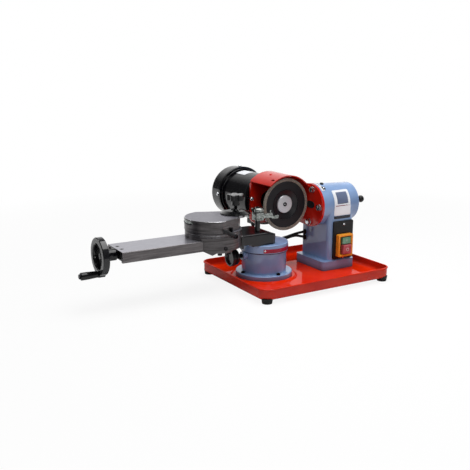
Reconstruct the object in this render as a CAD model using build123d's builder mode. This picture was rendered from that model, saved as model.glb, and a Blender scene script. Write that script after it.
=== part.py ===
from build123d import *
from math import cos, sin, radians, tan
import os

os.makedirs("parts", exist_ok=True)

# Circular saw blade sharpener, millimetres. The origin is on the tray's underside, in the
# middle of its length, on the machine's centre line. +X runs from the hand wheel to the column,
# +Y from the switch to the motor and +Z up.

# Clearances
turn_fit = 0.06
slide_fit = 0.2
screw_fit = 0.1
air = 0.3

# Tray and feet
tray_length = 356
tray_width = 289
tray_y = -16.5
tray_depth = 19
tray_sheet = 1.5
tray_corner = 10
tray_bend = 7
tray_lip = 2
tray_lip_height = 3
foot_inset = 15
foot_height = 12
foot_radius = 13
foot_base_radius = 11
foot_neck_radius = 3.5
foot_bulb_radius = 5.5
foot_bulb_height = 3

# Pot and swivel cap
pot_x = -77
pot_flange_radius = 67
pot_flange_height = 13.5
pot_radius = 52.7
pot_height = 50.7
pot_wall = 8
pot_roof = 10
pot_edge = 2.5
pot_screw_circle = 59
pot_screw_turn = 2
pot_screw_radius = 3
pot_screw_head = 4.6
pot_screw_head_height = 4
sleeve_wall = 10
sleeve_depth = 20
spigot_radius = 18
cap_radius = 56.5
cap_height = 19.2
cap_wall = 7
cap_plate = 8
cap_edge = 2
pivot_radius = 5
pivot_depth = 22
washer_radius = 23
washer_thickness = 3
pivot_head = 9
pivot_head_height = 6.5
scale_from = -124
scale_to = -12
scale_height = 9
scale_lift = 2
scale_thickness = 0.6
lock_drop = 10
lock_radius = 5
lug_radius = 10
lug_length = 9
lock_length = 34
lock_wheel_radius = 20.5
lock_wheel_depth = 12
lock_wheel_rim = 4
lock_hub_radius = 8
lock_wheel_edge = 1
lock_wheel_flare = 2

# Rail and arm
rail_length = 286
rail_width = 84
rail_height = 22.8
rail_side = 7
rail_web = 3.5
rail_lift = 6
rail_edge = 1
arm_length = 82
arm_setback = 1
arm_corner = 12
arm_edge = 4
tip_reach = 11
tip_radius = 16.5
tip_drop = 8
tip_start = 10
end_recess = 2.5
bearing_edge = 2.5
rail_screw_radius = 2.5
rail_screw_head = 4.5
rail_screw_spread = 26
rail_screw_inset = 10
rail_screw_length = 12

# Lead screw and hand wheel
screw_height = 10
screw_radius = 5
journal_radius = 6
tail_radius = 4
tail_length = 14
tail_room = 3
bearing_depth = 18
boss_radius = 12.5
boss_neck = 9
boss_length = 25
wheel_hub_radius = 11
hand_wheel_radius = 40
hand_wheel_depth = 14
hand_wheel_rim = 13
hand_wheel_dish = 9
hand_wheel_web = 4
hand_wheel_round = 1.5
hand_wheel_roll = 2
screw_proud = 3
crank_radius = 37
crank_boss = 8
crank_pin_radius = 4
grip_length = 37
grip_root = 7
grip_end = 8.2
grip_head = 2.5
grip_cap = 5
grip_edge = 1.5

# Carriage
carriage_reach = 136
table_rise = 43.5
table_radius = 65
table_plate = 10.5
table_cavity = 40
table_step = 27
nose_shoulder = 41
nose_shoulder_half = 41.6
nose_reach = 64
nose_half = 10
nose_start = 100
nose_edge = 1
table_foot_edge = 1.2
saddle_inset = 1
saddle_groove_drop = 8.5
saddle_groove_depth = 0.8
saddle_groove_height = 1.2
saddle_wall = 12
saddle_lug_x = 33
saddle_lug_half = 14.5
saddle_lug_drop = 8
saddle_lug_depth = 22
keeper_thickness = 6
keeper_half_length = 18
keeper_screw_x = 11
nut_length = 40
nut_half_width = 14
nut_wall = 3
carriage_screw_radius = 3
carriage_screw_head = 5
carriage_screw_head_height = 5
carriage_screw_bite = 10
keeper_margin = 2
table_screw_angles = [75, 105, 255, 285]

# Blade clamp
clamp_reach = 58
seat_radius = 21.5
seat_depth = 7
seat_proud = 0.5
stud_radius = 4
stud_bite = 10
saucer_radius = 34.5
saucer_rise = 0.6
saucer_sheet = 2.5
saucer_dome = 8.5
saucer_hub_radius = 10.5
saucer_hub_height = 11
knob_gap = 8
knob_neck_radius = 9
knob_neck_height = 12
knob_height = 13
knob_lobes = 5
knob_lobe_radius = 7
knob_lobe_circle = 13.5
knob_depth = 18
knob_edge = 1.5
saucer_flare = 2

# Tooth stop
stop_x = -32
stop_y = -21
post_radius = 6
post_rise = 28.5
post_depth = 18
post_stud_radius = 4
block_left = 11
block_right = 9
block_front = 14
block_back = 9
block_height = 18.5
block_corner = 2.5
finger_thickness = 5.6
finger_height = 11
finger_wall = 2.4
finger_lift = 3.5
finger_reach = 50
finger_tail = 10
finger_tip = 2
finger_step = 18
finger_tip_drop = 3.5
finger_tip_height = 7.5
finger_pin_radius = 1.5
finger_pin_height = 6.5
finger_pin_inset = 21
thumb_radius = 14.5
thumb_height = 9
thumb_teeth = 20
thumb_tooth = 0.8
post_end = 2

# Wheel head
wheel_radius = 62.5
wheel_gap = 2.5
wheel_rise = 6
wheel_front = 5.6
wheel_thickness = 13
wheel_edge = 4
wheel_boss = 30
abrasive_width = 6.5
wheel_lip = 1.5
recess_radius = 35
recess_depth = 6
recess_taper = 13
bore_radius = 10
hub_disc_radius = 21
hub_disc_thickness = 3
hub_disc_edge = 0.8
hub_flange_radius = 24
hub_flange_thickness = 6
hub_sleeve_radius = 14
hub_sleeve_length = 46
shaft_radius = 8
guard_radius = 71
guard_sheet = 2.5
guard_front = -4
guard_start = 136
guard_end = 52
guard_slot_angle = 121
guard_slot_length = 12
guard_slot_width = 5
guard_slot_y = 8
plate_front = 80
plate_thickness = 7
plate_left = 52
plate_drop = 56
plate_hole = 24
flange_x = 53.5
flange_radius = 52.5
flange_thickness = 6
flange_hole = 7
web_top = 42
web_bottom = 46
bolt_circle = 41
bolt_angles = [0, 73, 184, 272]
bolt_radius = 4
bolt_head = 7.5
bolt_head_height = 6
bolt_washer = 8
bolt_washer_thickness = 1.6
bolt_grip = 18

# Motor
motor_radius = 59
motor_wall = 6
motor_length = 128
shield_radius = 64
shield_thickness = 9
shield_screw_circle = 50
shield_screw_radius = 2.5
shield_screw_head = 5
shield_screw_head_height = 3.5
shield_screw_turn = 172
shield_edge = 2
shaft_clearance = 2
bearing_lip = 1
bearing_radius = 17.5
bearing_width = 9
stator_radius = 31
stator_length = 80
rotor_gap = 0.5
rotor_length = 80
rear_shield_thickness = 8
cowl_radius = 67.5
cowl_end_radius = 65
cowl_length = 45
cowl_sheet = 1.6
cowl_overlap = 10
cowl_ring = 4
cowl_groove = 1.2
cowl_edge = 6
vents = 12
vent_length = 26
vent_width = 5
vent_first = 18
fan_radius = 52
fan_hub = 16
fan_width = 15
fan_blades = 8
fan_blade_sheet = 2
fan_blade_root = 4
fan_gap = 3
cowl_screw_bite = 3
cowl_screw_radius = 2.5
cowl_screw_head = 4.5
cowl_screw_head_height = 2.5
box_length = 36
box_width = 28
box_drop = 10
box_y = 45
box_corner = 3
lead_radius = 3.25
lead_spread = 14

# Column
column_left = 76
column_right = 152
column_front = -49
column_back = 61
column_wall = 9
column_corner = 10
column_roof = 24
column_shoulder = 36
column_head_back = 46
column_foot_left = 58.5
column_foot_right = 155
column_foot_front = -54
column_foot_height = 22.5
column_foot_corner = 9
column_foot_edge = 2
head_left_radius = 51.5
head_right_radius = 47
head_right = 174
head_edge = 5
column_gap = 0.5
trunnion_radius = 47.5
trunnion_thickness = 14
trunnion_nose = 16
quill_radius = 24
quill_length = 74
quill_edge = 1
quill_gap = 1
rod_radius = 7
rod_length = 36
ball_radius = 9
column_bolt_radius = 5
column_bolt_head = 8.5
column_bolt_head_height = 6
column_bolt_inset = 9
column_bolt_depth = 14
bevel_from = 76
bevel_to = 132
bevel_width = 9
bevel_inset = 4
bevel_thickness = 0.6

# Switch
plate_left_x = 88
plate_width = 60
plate_base = 27
plate_height = 94
plate_depth = 5
plate_corner = 4
plate_edge = 1
frame_left = 96
frame_width = 44
frame_base = 34
frame_height = 55
frame_depth = 11
frame_border = 5
frame_corner = 3
frame_edge = 1
button_width = 25
button_x = 121
stop_base = 40.5
stop_height = 22.5
start_base = 65
start_height = 17
button_travel = 3
stop_proud = 3
button_sunk = 1
stop_round = 2
start_round = 1.5
stem_size = 9
module_depth = 34
module_margin = 3
switch_screw_radius = 2
switch_screw_high = 8
switch_screw_low = 3.5
grommet_radius = 6
grommet_flange = 2
grommet_lip = 0.8
lead_high = 79
lead_low = 65
lead_y = 46
gland_radius = 9
gland_length = 14
gland_bore = 4
gland_step = 2
gland_edge = 2
gland_x = 118
gland_z = 40

# Levels and places that follow
floor = tray_sheet
pot_top = floor + pot_flange_height + pot_height
cap_base = pot_top + air
cap_top = cap_base + cap_height
rail_base = cap_top + rail_lift
rail_top = rail_base + rail_height
blade_z = rail_top + table_rise
head_z = blade_z
wheel_z = head_z + wheel_rise
screw_z = rail_base + screw_height
lock_z = pot_top - lock_drop
arm_right = pot_x - arm_setback
arm_left = arm_right - arm_length
rail_left = arm_left - rail_length
carriage_x = pot_x - carriage_reach
clamp_x = carriage_x + clamp_reach
wheel_x = pot_x + wheel_gap + wheel_radius
post_x = pot_x + stop_x
step_z = blade_z - table_step
cheek_base = rail_base - slide_fit
saddle_radius = table_radius - saddle_inset
channel_half = rail_width / 2 - rail_side
channel_top = rail_top - rail_web
plate_back = plate_front + plate_thickness
motor_front = plate_back + shield_thickness
motor_back = motor_front + motor_length
cowl_front = motor_back - cowl_overlap
cowl_back = cowl_front + cowl_length
wheel_back = wheel_front + wheel_thickness
flange_right = flange_x + flange_thickness
head_left = flange_right + column_gap
quarter_turns = [0, 90, 180, 270]
corner_signs = [(-1, -1), (1, -1), (1, 1), (-1, 1)]

pot_axis = Axis((pot_x, 0, 0), (0, 0, 1))
clamp_axis = Axis((clamp_x, 0, 0), (0, 0, 1))
screw_axis = Axis((0, 0, screw_z), (1, 0, 0))
lock_axis = Axis((0, 0, lock_z), (1, 0, 0))
head_axis = Axis((0, 0, head_z), (1, 0, 0))
crank_z = screw_z - crank_radius
crank_axis = Axis((0, 0, crank_z), (1, 0, 0))
motor_axis = Axis((wheel_x, 0, wheel_z), (0, 1, 0))
motor_plane = Plane((wheel_x, 0, wheel_z), x_dir=(0, 1, 0), z_dir=(1, 0, 0))
wheel_face = Plane((wheel_x, 0, wheel_z), x_dir=(1, 0, 0), z_dir=(0, -1, 0))
from_below = (Align.CENTER, Align.CENTER, Align.MIN)


def rod_x(start, end, y, z, radius, mode=Mode.ADD):
    with Locations((start, y, z)):
        Cylinder(radius, end - start, rotation=(0, 90, 0), align=from_below, mode=mode)


def rod_y(start, end, x, z, radius, mode=Mode.ADD):
    with Locations((x, start, z)):
        Cylinder(radius, end - start, rotation=(-90, 0, 0), align=from_below, mode=mode)


def rod_z(start, end, x, y, radius, mode=Mode.ADD):
    with Locations((x, y, start)):
        Cylinder(radius, end - start, align=from_below, mode=mode)


def block(x, y, z, mode=Mode.ADD):
    with Locations(((x[0] + x[1]) / 2, (y[0] + y[1]) / 2, (z[0] + z[1]) / 2)):
        Box(x[1] - x[0], y[1] - y[0], z[1] - z[0], mode=mode)


def profile(plane, points):
    with BuildSketch(plane) as face:
        with BuildLine():
            Polyline(*points, close=True)
        make_face()
    return face.sketch


def rings(part, radius, level, axis=2):
    round_edges = part.edges().filter_by(GeomType.CIRCLE)
    return [e for e in round_edges
            if abs(e.radius - radius) < 0.001 and abs(tuple(e.arc_center)[axis] - level) < 0.001]


# Tray: pressed sheet with rolled lip, holes for the feet and the castings' screws
foot_places = [(sx * (tray_length / 2 - foot_inset), tray_y + sy * (tray_width / 2 - foot_inset))
               for sx, sy in corner_signs]
pot_screw_places = [(pot_x + pot_screw_circle * cos(radians(a + pot_screw_turn)),
                     pot_screw_circle * sin(radians(a + pot_screw_turn))) for a in quarter_turns]
column_mid_x = (column_foot_left + column_foot_right) / 2
column_mid_y = (column_foot_front + column_back) / 2
column_bolt_x = (column_foot_right - column_foot_left) / 2 - column_bolt_inset
column_bolt_y = (column_back - column_foot_front) / 2 - column_bolt_inset
column_bolt_places = [(column_mid_x + sx * column_bolt_x, column_mid_y + sy * column_bolt_y)
                      for sx, sy in corner_signs]

with BuildPart() as tray:
    with BuildSketch():
        with Locations((0, tray_y)):
            RectangleRounded(tray_length - 2 * tray_lip, tray_width - 2 * tray_lip, tray_corner)
    extrude(amount=tray_depth)
    fillet(tray.faces().sort_by(Axis.Z)[0].edges(), tray_bend)
    offset(amount=-tray_sheet, openings=tray.faces().sort_by(Axis.Z)[-1])
    with BuildSketch(Plane.XY.offset(tray_depth - tray_lip_height)):
        with Locations((0, tray_y)):
            RectangleRounded(tray_length, tray_width, tray_corner + tray_lip)
            RectangleRounded(tray_length - 2 * tray_lip - tray_sheet, tray_width - 2 * tray_lip - tray_sheet,
                             tray_corner - tray_sheet / 2, mode=Mode.SUBTRACT)
    extrude(amount=tray_lip_height)
    for x, y in foot_places:
        rod_z(0, floor, x, y, foot_neck_radius + screw_fit, Mode.SUBTRACT)
    for x, y in pot_screw_places:
        rod_z(0, floor, x, y, pot_screw_radius + screw_fit, Mode.SUBTRACT)
    for x, y in column_bolt_places:
        rod_z(0, floor, x, y, column_bolt_radius + screw_fit, Mode.SUBTRACT)

with BuildPart() as rubber_feet:
    for x, y in foot_places:
        with Locations((x, y, -foot_height)):
            Cone(foot_base_radius, foot_radius, foot_height, align=from_below)
        rod_z(0, floor, x, y, foot_neck_radius)
        with Locations((x, y, floor)):
            Cone(foot_bulb_radius, foot_neck_radius, foot_bulb_height, align=from_below)

# Pot: hollow casting with a flange, a sleeve for the cap's spigot and a lug for the lock screw
sleeve_base = pot_top - sleeve_depth
flange_top = floor + pot_flange_height
lug_x = pot_x - pot_radius - lug_length
with BuildPart() as pot_base:
    outline = profile(Plane.XZ, [(pot_x + r, z) for r, z in (
        (pot_radius - pot_wall, floor), (pot_flange_radius, floor), (pot_flange_radius, flange_top),
        (pot_radius, flange_top), (pot_radius, pot_top), (spigot_radius + turn_fit, pot_top),
        (spigot_radius + turn_fit, sleeve_base), (spigot_radius + sleeve_wall, sleeve_base),
        (spigot_radius + sleeve_wall, pot_top - pot_roof), (pot_radius - pot_wall, pot_top - pot_roof))])
    revolve(outline, axis=pot_axis)
    fillet(rings(pot_base, pot_flange_radius, flange_top), pot_edge)
    rod_x(lug_x, pot_x - pot_radius + pot_wall / 2, 0, lock_z, lug_radius)
    rod_x(lug_x, pot_x, 0, lock_z, lock_radius + turn_fit, Mode.SUBTRACT)
    for x, y in pot_screw_places:
        rod_z(floor, flange_top, x, y, pot_screw_radius + screw_fit, Mode.SUBTRACT)

with BuildPart() as pot_screws:
    for x, y in pot_screw_places:
        rod_z(0, flange_top, x, y, pot_screw_radius)
        rod_z(flange_top, flange_top + pot_screw_head_height, x, y, pot_screw_head)

spigot_base = sleeve_base - air
with BuildPart() as swivel_cap:
    outline = profile(Plane.XZ, [(pot_x + r, z) for r, z in (
        (0, spigot_base), (spigot_radius, spigot_base), (spigot_radius, cap_base),
        (spigot_radius + sleeve_wall, cap_base), (spigot_radius + sleeve_wall, cap_top - cap_plate),
        (cap_radius - cap_wall, cap_top - cap_plate), (cap_radius - cap_wall, cap_base),
        (cap_radius, cap_base), (cap_radius, cap_top), (0, cap_top))])
    revolve(outline, axis=pot_axis)
    fillet(rings(swivel_cap, cap_radius, cap_top), cap_edge)
    rod_z(spigot_base, spigot_base + pivot_depth, pot_x, 0, pivot_radius + screw_fit, Mode.SUBTRACT)

with BuildPart() as pivot_bolt:
    rod_z(spigot_base - washer_thickness, spigot_base, pot_x, 0, washer_radius)
    rod_z(spigot_base, spigot_base + pivot_depth - air, pot_x, 0, pivot_radius)
    with BuildSketch(Plane.XY.offset(spigot_base - washer_thickness - pivot_head_height)):
        with Locations((pot_x, 0)):
            RegularPolygon(pivot_head, 6)
    extrude(amount=pivot_head_height)

# Hook-angle scale: a strip round the cap from its front to its right side
scale_base = cap_base + scale_lift
with BuildPart() as hook_scale:
    with BuildSketch(Plane.XZ) as strip:
        with Locations((pot_x + cap_radius + scale_thickness / 2, scale_base + scale_height / 2)):
            Rectangle(scale_thickness, scale_height)
    revolve(axis=pot_axis, revolution_arc=scale_to - scale_from)
swing = Location((pot_x, 0, 0)) * Rotation(0, 0, scale_from) * Location((-pot_x, 0, 0))
hook_scale.part = hook_scale.part.moved(swing)

# Lock screw through the pot wall, with its dished hand wheel
lock_tip = pot_x - spigot_radius - air
with BuildPart() as lock_screw:
    rod_x(lug_x - lock_length + lock_wheel_depth / 2, lock_tip, 0, lock_z, lock_radius)

lock_face_x = lug_x - lock_length
with BuildPart() as lock_wheel:
    outline = profile(Plane.XZ, [(lock_face_x + x, lock_z + r) for x, r in (
        (0, lock_wheel_radius - lock_wheel_rim), (0, lock_wheel_radius - lock_wheel_edge),
        (lock_wheel_edge, lock_wheel_radius),
        (lock_wheel_depth * 0.7, lock_wheel_radius),
        (lock_wheel_depth * 0.9, lock_hub_radius + lock_wheel_flare),
        (lock_wheel_depth, lock_hub_radius), (lock_wheel_depth, 0), (lock_wheel_depth * 0.4, 0),
        (lock_wheel_depth * 0.4, lock_wheel_radius - lock_wheel_rim - lock_wheel_flare))])
    revolve(outline, axis=lock_axis)
    rod_x(lock_face_x + lock_wheel_depth / 2, lug_x, 0, lock_z, lock_radius + screw_fit, Mode.SUBTRACT)

# Arm on the cap: full width over the pot, a round tip on the near side that slopes down past the
# axis, and a tongue in the end of the rail
nut_right = carriage_x + nut_length / 2
tongue_left = nut_right + 10 * air
tongue_half = channel_half - screw_fit
post_base = rail_top - post_depth
arm_half = rail_width / 2
tip_right = pot_x + tip_reach
tip_x = tip_right - tip_radius
slope_x = post_x + tip_start
with BuildPart() as rail_arm:
    block((arm_left, arm_right), (-arm_half, arm_half), (cap_top, rail_top))
    fillet(rail_arm.edges().filter_by(Axis.Z).group_by(Axis.X)[-1].sort_by(Axis.Y)[-1], arm_corner)
    block((arm_right - 2 * arm_corner, tip_x), (-arm_half, 2 * tip_radius - arm_half), (cap_top, rail_top))
    rod_z(cap_top, rail_top, tip_x, tip_radius - arm_half, tip_radius)
    with BuildSketch(Plane.XZ):
        with BuildLine():
            Polyline((slope_x, rail_top), (arm_left, rail_top), (arm_left, rail_base),
                     (pot_x - cap_radius, rail_base), (pot_x - cap_radius, cap_top), (tip_right, cap_top),
                     (tip_right, rail_top - tip_drop))
            TangentArc((slope_x, rail_top), (tip_right, rail_top - tip_drop), tangent=(1, 0))
        make_face()
    extrude(amount=rail_width, both=True, mode=Mode.INTERSECT)
    near_edges = rail_arm.edges().filter_by(lambda e: e.center().Z > rail_top - tip_drop and
                                            e.center().Y < -arm_half + 0.1)
    fillet(near_edges, arm_edge)
    block((tongue_left, arm_left), (-tongue_half, tongue_half), (rail_base, channel_top - screw_fit))
    rod_x(tongue_left, tongue_left + tail_length + tail_room, 0, screw_z, tail_radius + turn_fit,
          Mode.SUBTRACT)
    rod_z(post_base - 2 * block_height / 3, rail_top, post_x, stop_y, post_radius + turn_fit, Mode.SUBTRACT)

# Rail: ground inverted channel
rail_screw_places = [(rail_left + rail_screw_inset, -rail_screw_spread / 2),
                     (rail_left + rail_screw_inset, rail_screw_spread / 2)]
with BuildPart() as rail:
    block((rail_left, arm_left), (-rail_width / 2, rail_width / 2), (rail_base, rail_top))
    block((rail_left, arm_left), (-channel_half, channel_half), (rail_base, channel_top), Mode.SUBTRACT)
    chamfer(rail.faces().sort_by(Axis.Z)[-1].edges().filter_by(Axis.X), rail_edge)
    for x, y in rail_screw_places:
        with Locations((x, y, rail_top)):
            CounterSinkHole(rail_screw_radius + screw_fit, rail_screw_head, rail_web, 90)

bearing_left = rail_left + end_recess
bearing_right = rail_left + bearing_depth
boss_left = rail_left - boss_length
with BuildPart() as end_bearing:
    block((bearing_left, bearing_right), (-tongue_half, tongue_half), (rail_base, channel_top))
    fillet(end_bearing.edges().filter_by(Axis.Y).group_by(Axis.Z)[0], bearing_edge)
    rod_x(boss_left, rail_left, 0, screw_z, boss_radius)
    rod_x(rail_left, bearing_left, 0, screw_z, boss_neck)
    rod_x(boss_left, bearing_right, 0, screw_z, journal_radius + turn_fit, Mode.SUBTRACT)
    for x, y in rail_screw_places:
        rod_z(channel_top - rail_screw_length, channel_top, x, y, rail_screw_radius + screw_fit,
              Mode.SUBTRACT)

rail_screw_cone = rail_screw_head - rail_screw_radius
with BuildPart() as rail_screws:
    for x, y in rail_screw_places:
        rod_z(channel_top - rail_screw_length + air, rail_top - rail_screw_cone, x, y, rail_screw_radius)
        with Locations((x, y, rail_top - rail_screw_cone)):
            Cone(rail_screw_radius, rail_screw_head - screw_fit, rail_screw_cone, align=from_below)

# Lead screw, hand wheel and crank
wheel_right = boss_left - air
wheel_left = wheel_right - hand_wheel_depth
with BuildPart() as lead_screw:
    rod_x(wheel_left + hand_wheel_dish - screw_proud, wheel_right, 0, screw_z, screw_radius)
    rod_x(wheel_right, bearing_right + air, 0, screw_z, journal_radius)
    rod_x(bearing_right + air, tongue_left - air, 0, screw_z, screw_radius)
    rod_x(tongue_left - air, tongue_left + tail_length, 0, screw_z, tail_radius)

rim_inner = hand_wheel_radius - hand_wheel_rim
with BuildPart() as hand_wheel:
    outline = profile(Plane.XZ, [(wheel_left + x, screw_z + r) for x, r in (
        (hand_wheel_dish, screw_radius + screw_fit),
        (hand_wheel_dish, rim_inner - hand_wheel_round), (hand_wheel_roll, rim_inner),
        (0, rim_inner + hand_wheel_round), (0, hand_wheel_radius - hand_wheel_round),
        (hand_wheel_round, hand_wheel_radius), (hand_wheel_depth - hand_wheel_round, hand_wheel_radius),
        (hand_wheel_depth, hand_wheel_radius - hand_wheel_round),
        (hand_wheel_dish + hand_wheel_web, rim_inner),
        (hand_wheel_dish + hand_wheel_web, wheel_hub_radius), (hand_wheel_depth, wheel_hub_radius),
        (hand_wheel_depth, screw_radius + screw_fit))])
    revolve(outline, axis=screw_axis)
    rod_x(wheel_left, wheel_right, 0, crank_z, crank_boss)
    rod_x(wheel_left, wheel_right, 0, crank_z, crank_pin_radius + screw_fit, Mode.SUBTRACT)

grip_right = wheel_left - air
grip_left = grip_right - grip_length
with BuildPart() as crank_pin:
    rod_x(grip_left - air, wheel_right, 0, crank_z, crank_pin_radius)
    rod_x(grip_left - air - grip_head, grip_left - air, 0, crank_z, grip_cap)

with BuildPart() as crank_grip:
    outline = profile(Plane.XZ, [(x, crank_z + r) for x, r in (
        (grip_left, crank_pin_radius + turn_fit), (grip_left, grip_end - grip_edge),
        (grip_left + grip_edge, grip_end),
        (grip_left + grip_length * 0.35, grip_end), (grip_right - grip_edge, grip_root),
        (grip_right, grip_root - grip_edge), (grip_right, crank_pin_radius + turn_fit))])
    revolve(outline, axis=crank_axis)

# Carriage: saddle over the rail, blade table on it with a tapered nose
slot_half = rail_width / 2 + slide_fit
slot_top = rail_top + slide_fit
keeper_half = saddle_radius - carriage_screw_head - keeper_margin
keeper_screw_y = (slot_half + sin(radians(60)) * saddle_radius) / 2
keeper_screw_places = [(carriage_x + sx * keeper_screw_x, sy * keeper_screw_y) for sx, sy in corner_signs]
table_screw_circle = saddle_radius - saddle_wall / 2
table_screw_places = [(carriage_x + table_screw_circle * cos(radians(a)),
                       table_screw_circle * sin(radians(a))) for a in table_screw_angles]
with BuildPart() as saddle:
    with BuildSketch(Plane.XY.offset(cheek_base)):
        with Locations((carriage_x, 0)):
            Circle(saddle_radius)
    extrude(amount=step_z - cheek_base)
    with BuildSketch(Plane.XY.offset(step_z - saddle_groove_drop)):
        with Locations((carriage_x, 0)):
            Circle(table_radius)
            Circle(saddle_radius - saddle_groove_depth, mode=Mode.SUBTRACT)
    extrude(amount=saddle_groove_height, mode=Mode.SUBTRACT)
    with Locations((carriage_x, 0, slot_top)):
        Cylinder(saddle_radius - saddle_wall, step_z - slot_top, align=from_below, mode=Mode.SUBTRACT)
    lug_back = -slot_half
    lug_mid = carriage_x - saddle_lug_x
    outline = profile(Plane.XZ.offset(-lug_back), [
        (lug_mid - saddle_lug_half, cheek_base), (lug_mid, cheek_base - saddle_lug_drop),
        (lug_mid + saddle_lug_half, cheek_base), (lug_mid, cheek_base + saddle_lug_drop)])
    extrude(outline, amount=saddle_lug_depth)
    with BuildSketch(Plane.XY.offset(cheek_base - saddle_lug_drop)) as trim:
        with Locations((carriage_x, 0)):
            Circle(2 * table_radius)
            Circle(saddle_radius, mode=Mode.SUBTRACT)
    extrude(amount=step_z, mode=Mode.SUBTRACT)
    block((carriage_x - 2 * table_radius, carriage_x + 2 * table_radius), (-slot_half, slot_half),
          (cheek_base - saddle_lug_drop, slot_top), Mode.SUBTRACT)
    for x, y in keeper_screw_places:
        rod_z(cheek_base, cheek_base + carriage_screw_bite, x, y, carriage_screw_radius + screw_fit,
              Mode.SUBTRACT)
    for x, y in table_screw_places:
        rod_z(step_z - carriage_screw_bite, step_z, x, y, carriage_screw_radius + screw_fit, Mode.SUBTRACT)

keeper_base = cheek_base - keeper_thickness
with BuildPart() as keeper_plate:
    with BuildSketch(Plane.XY.offset(keeper_base)):
        with Locations((carriage_x, 0)):
            Circle(keeper_half)
            Rectangle(2 * keeper_half_length, 2 * keeper_half, mode=Mode.INTERSECT)
    extrude(amount=keeper_thickness)
    for x, y in keeper_screw_places:
        rod_z(keeper_base, cheek_base, x, y, carriage_screw_radius + screw_fit, Mode.SUBTRACT)

with BuildPart() as lead_nut:
    block((carriage_x - nut_length / 2, nut_right), (-nut_half_width, nut_half_width),
          (cheek_base, screw_z + screw_radius + nut_wall))
    chamfer(lead_nut.edges().filter_by(Axis.X).group_by(Axis.Z)[-1], nut_wall)
    rod_x(carriage_x - nut_length / 2, nut_right, 0, screw_z, screw_radius + turn_fit, Mode.SUBTRACT)

seat_base = blade_z - seat_depth
nose_from = (carriage_x + table_radius * cos(radians(nose_start)), table_radius * sin(radians(nose_start)))
with BuildPart() as blade_table:
    with BuildSketch(Plane.XY.offset(step_z)):
        with Locations((carriage_x, 0)):
            Circle(table_radius)
        with BuildLine():
            Polyline((carriage_x - table_radius, -nose_from[1]), (nose_from[0], -nose_from[1]),
                     (carriage_x + nose_shoulder, -nose_shoulder_half), (carriage_x + nose_reach, -nose_half),
                     (carriage_x + nose_reach, nose_half), (carriage_x + nose_shoulder, nose_shoulder_half),
                     nose_from, (carriage_x - table_radius, nose_from[1]), close=True)
        make_face(mode=Mode.INTERSECT)
    extrude(amount=table_step)
    chamfer(blade_table.faces().sort_by(Axis.Z)[-1].edges(), nose_edge)
    chamfer(blade_table.faces().sort_by(Axis.Z)[0].edges(), table_foot_edge)
    with Locations((carriage_x, 0, step_z)):
        Cylinder(table_cavity, table_step - table_plate, align=from_below, mode=Mode.SUBTRACT)
    rod_z(seat_base, blade_z, clamp_x, 0, seat_radius + screw_fit, Mode.SUBTRACT)
    rod_z(seat_base - stud_bite - air, seat_base, clamp_x, 0, stud_radius + screw_fit, Mode.SUBTRACT)
    for x, y in table_screw_places:
        rod_z(step_z, step_z + carriage_screw_bite, x, y, carriage_screw_radius + screw_fit, Mode.SUBTRACT)

with BuildPart() as carriage_screws:
    for x, y in keeper_screw_places:
        rod_z(keeper_base, cheek_base + carriage_screw_bite - air, x, y, carriage_screw_radius)
        rod_z(keeper_base - carriage_screw_head_height, keeper_base, x, y, carriage_screw_head)
    for x, y in table_screw_places:
        rod_z(step_z - carriage_screw_bite + air, step_z + carriage_screw_bite - air, x, y,
              carriage_screw_radius)

# Blade clamp: seat let into the nose, stud, saucer and lobed knob
seat_top = blade_z + seat_proud
with BuildPart() as blade_seat:
    rod_z(seat_base, seat_top, clamp_x, 0, seat_radius)
    chamfer(rings(blade_seat, seat_radius, seat_top), seat_proud / 2)
    rod_z(seat_base, seat_top, clamp_x, 0, stud_radius + screw_fit, Mode.SUBTRACT)

saucer_top = seat_top + saucer_hub_height
knob_base = saucer_top + knob_gap
knob_top = knob_base + knob_neck_height + knob_height
with BuildPart() as clamp_stud:
    rod_z(seat_base - stud_bite, knob_base + knob_depth - knob_gap, clamp_x, 0, stud_radius)

rim_base = seat_top + saucer_rise
with BuildPart() as clamp_saucer:
    outline = profile(Plane.XZ, [(clamp_x + r, z) for r, z in (
        (stud_radius + turn_fit, seat_top), (saucer_hub_radius, seat_top),
        (saucer_hub_radius, rim_base + saucer_dome - saucer_sheet),
        (saucer_radius * 0.62, rim_base + saucer_dome * 0.62 - saucer_sheet * 0.6),
        (saucer_radius - saucer_sheet, rim_base), (saucer_radius, rim_base),
        (saucer_radius, rim_base + saucer_sheet * 0.6),
        (saucer_radius * 0.66, rim_base + saucer_dome * 0.78),
        (saucer_hub_radius + saucer_flare, rim_base + saucer_dome), (saucer_hub_radius, saucer_top),
        (stud_radius + turn_fit, saucer_top))])
    revolve(outline, axis=clamp_axis)

with BuildPart() as clamp_knob:
    rod_z(knob_base, knob_base + knob_neck_height, clamp_x, 0, knob_neck_radius)
    with BuildSketch(Plane.XY.offset(knob_base + knob_neck_height)):
        with Locations((clamp_x, 0)):
            Circle(knob_lobe_circle)
            with PolarLocations(knob_lobe_circle, knob_lobes):
                Circle(knob_lobe_radius)
    extrude(amount=knob_height)
    chamfer(clamp_knob.faces().sort_by(Axis.Z)[-1].edges(), knob_edge)
    rod_z(knob_base, knob_base + knob_depth, clamp_x, 0, stud_radius + turn_fit, Mode.SUBTRACT)

# Tooth stop
block_base = rail_top + post_rise
block_top = block_base + block_height
finger_y = stop_y - post_stud_radius - finger_wall - finger_thickness / 2
finger_base = block_base + finger_lift
with BuildPart() as stop_post:
    rod_z(post_base, block_base, post_x, stop_y, post_radius)
    rod_z(block_base, block_top + thumb_height + post_end, post_x, stop_y, post_stud_radius)

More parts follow.
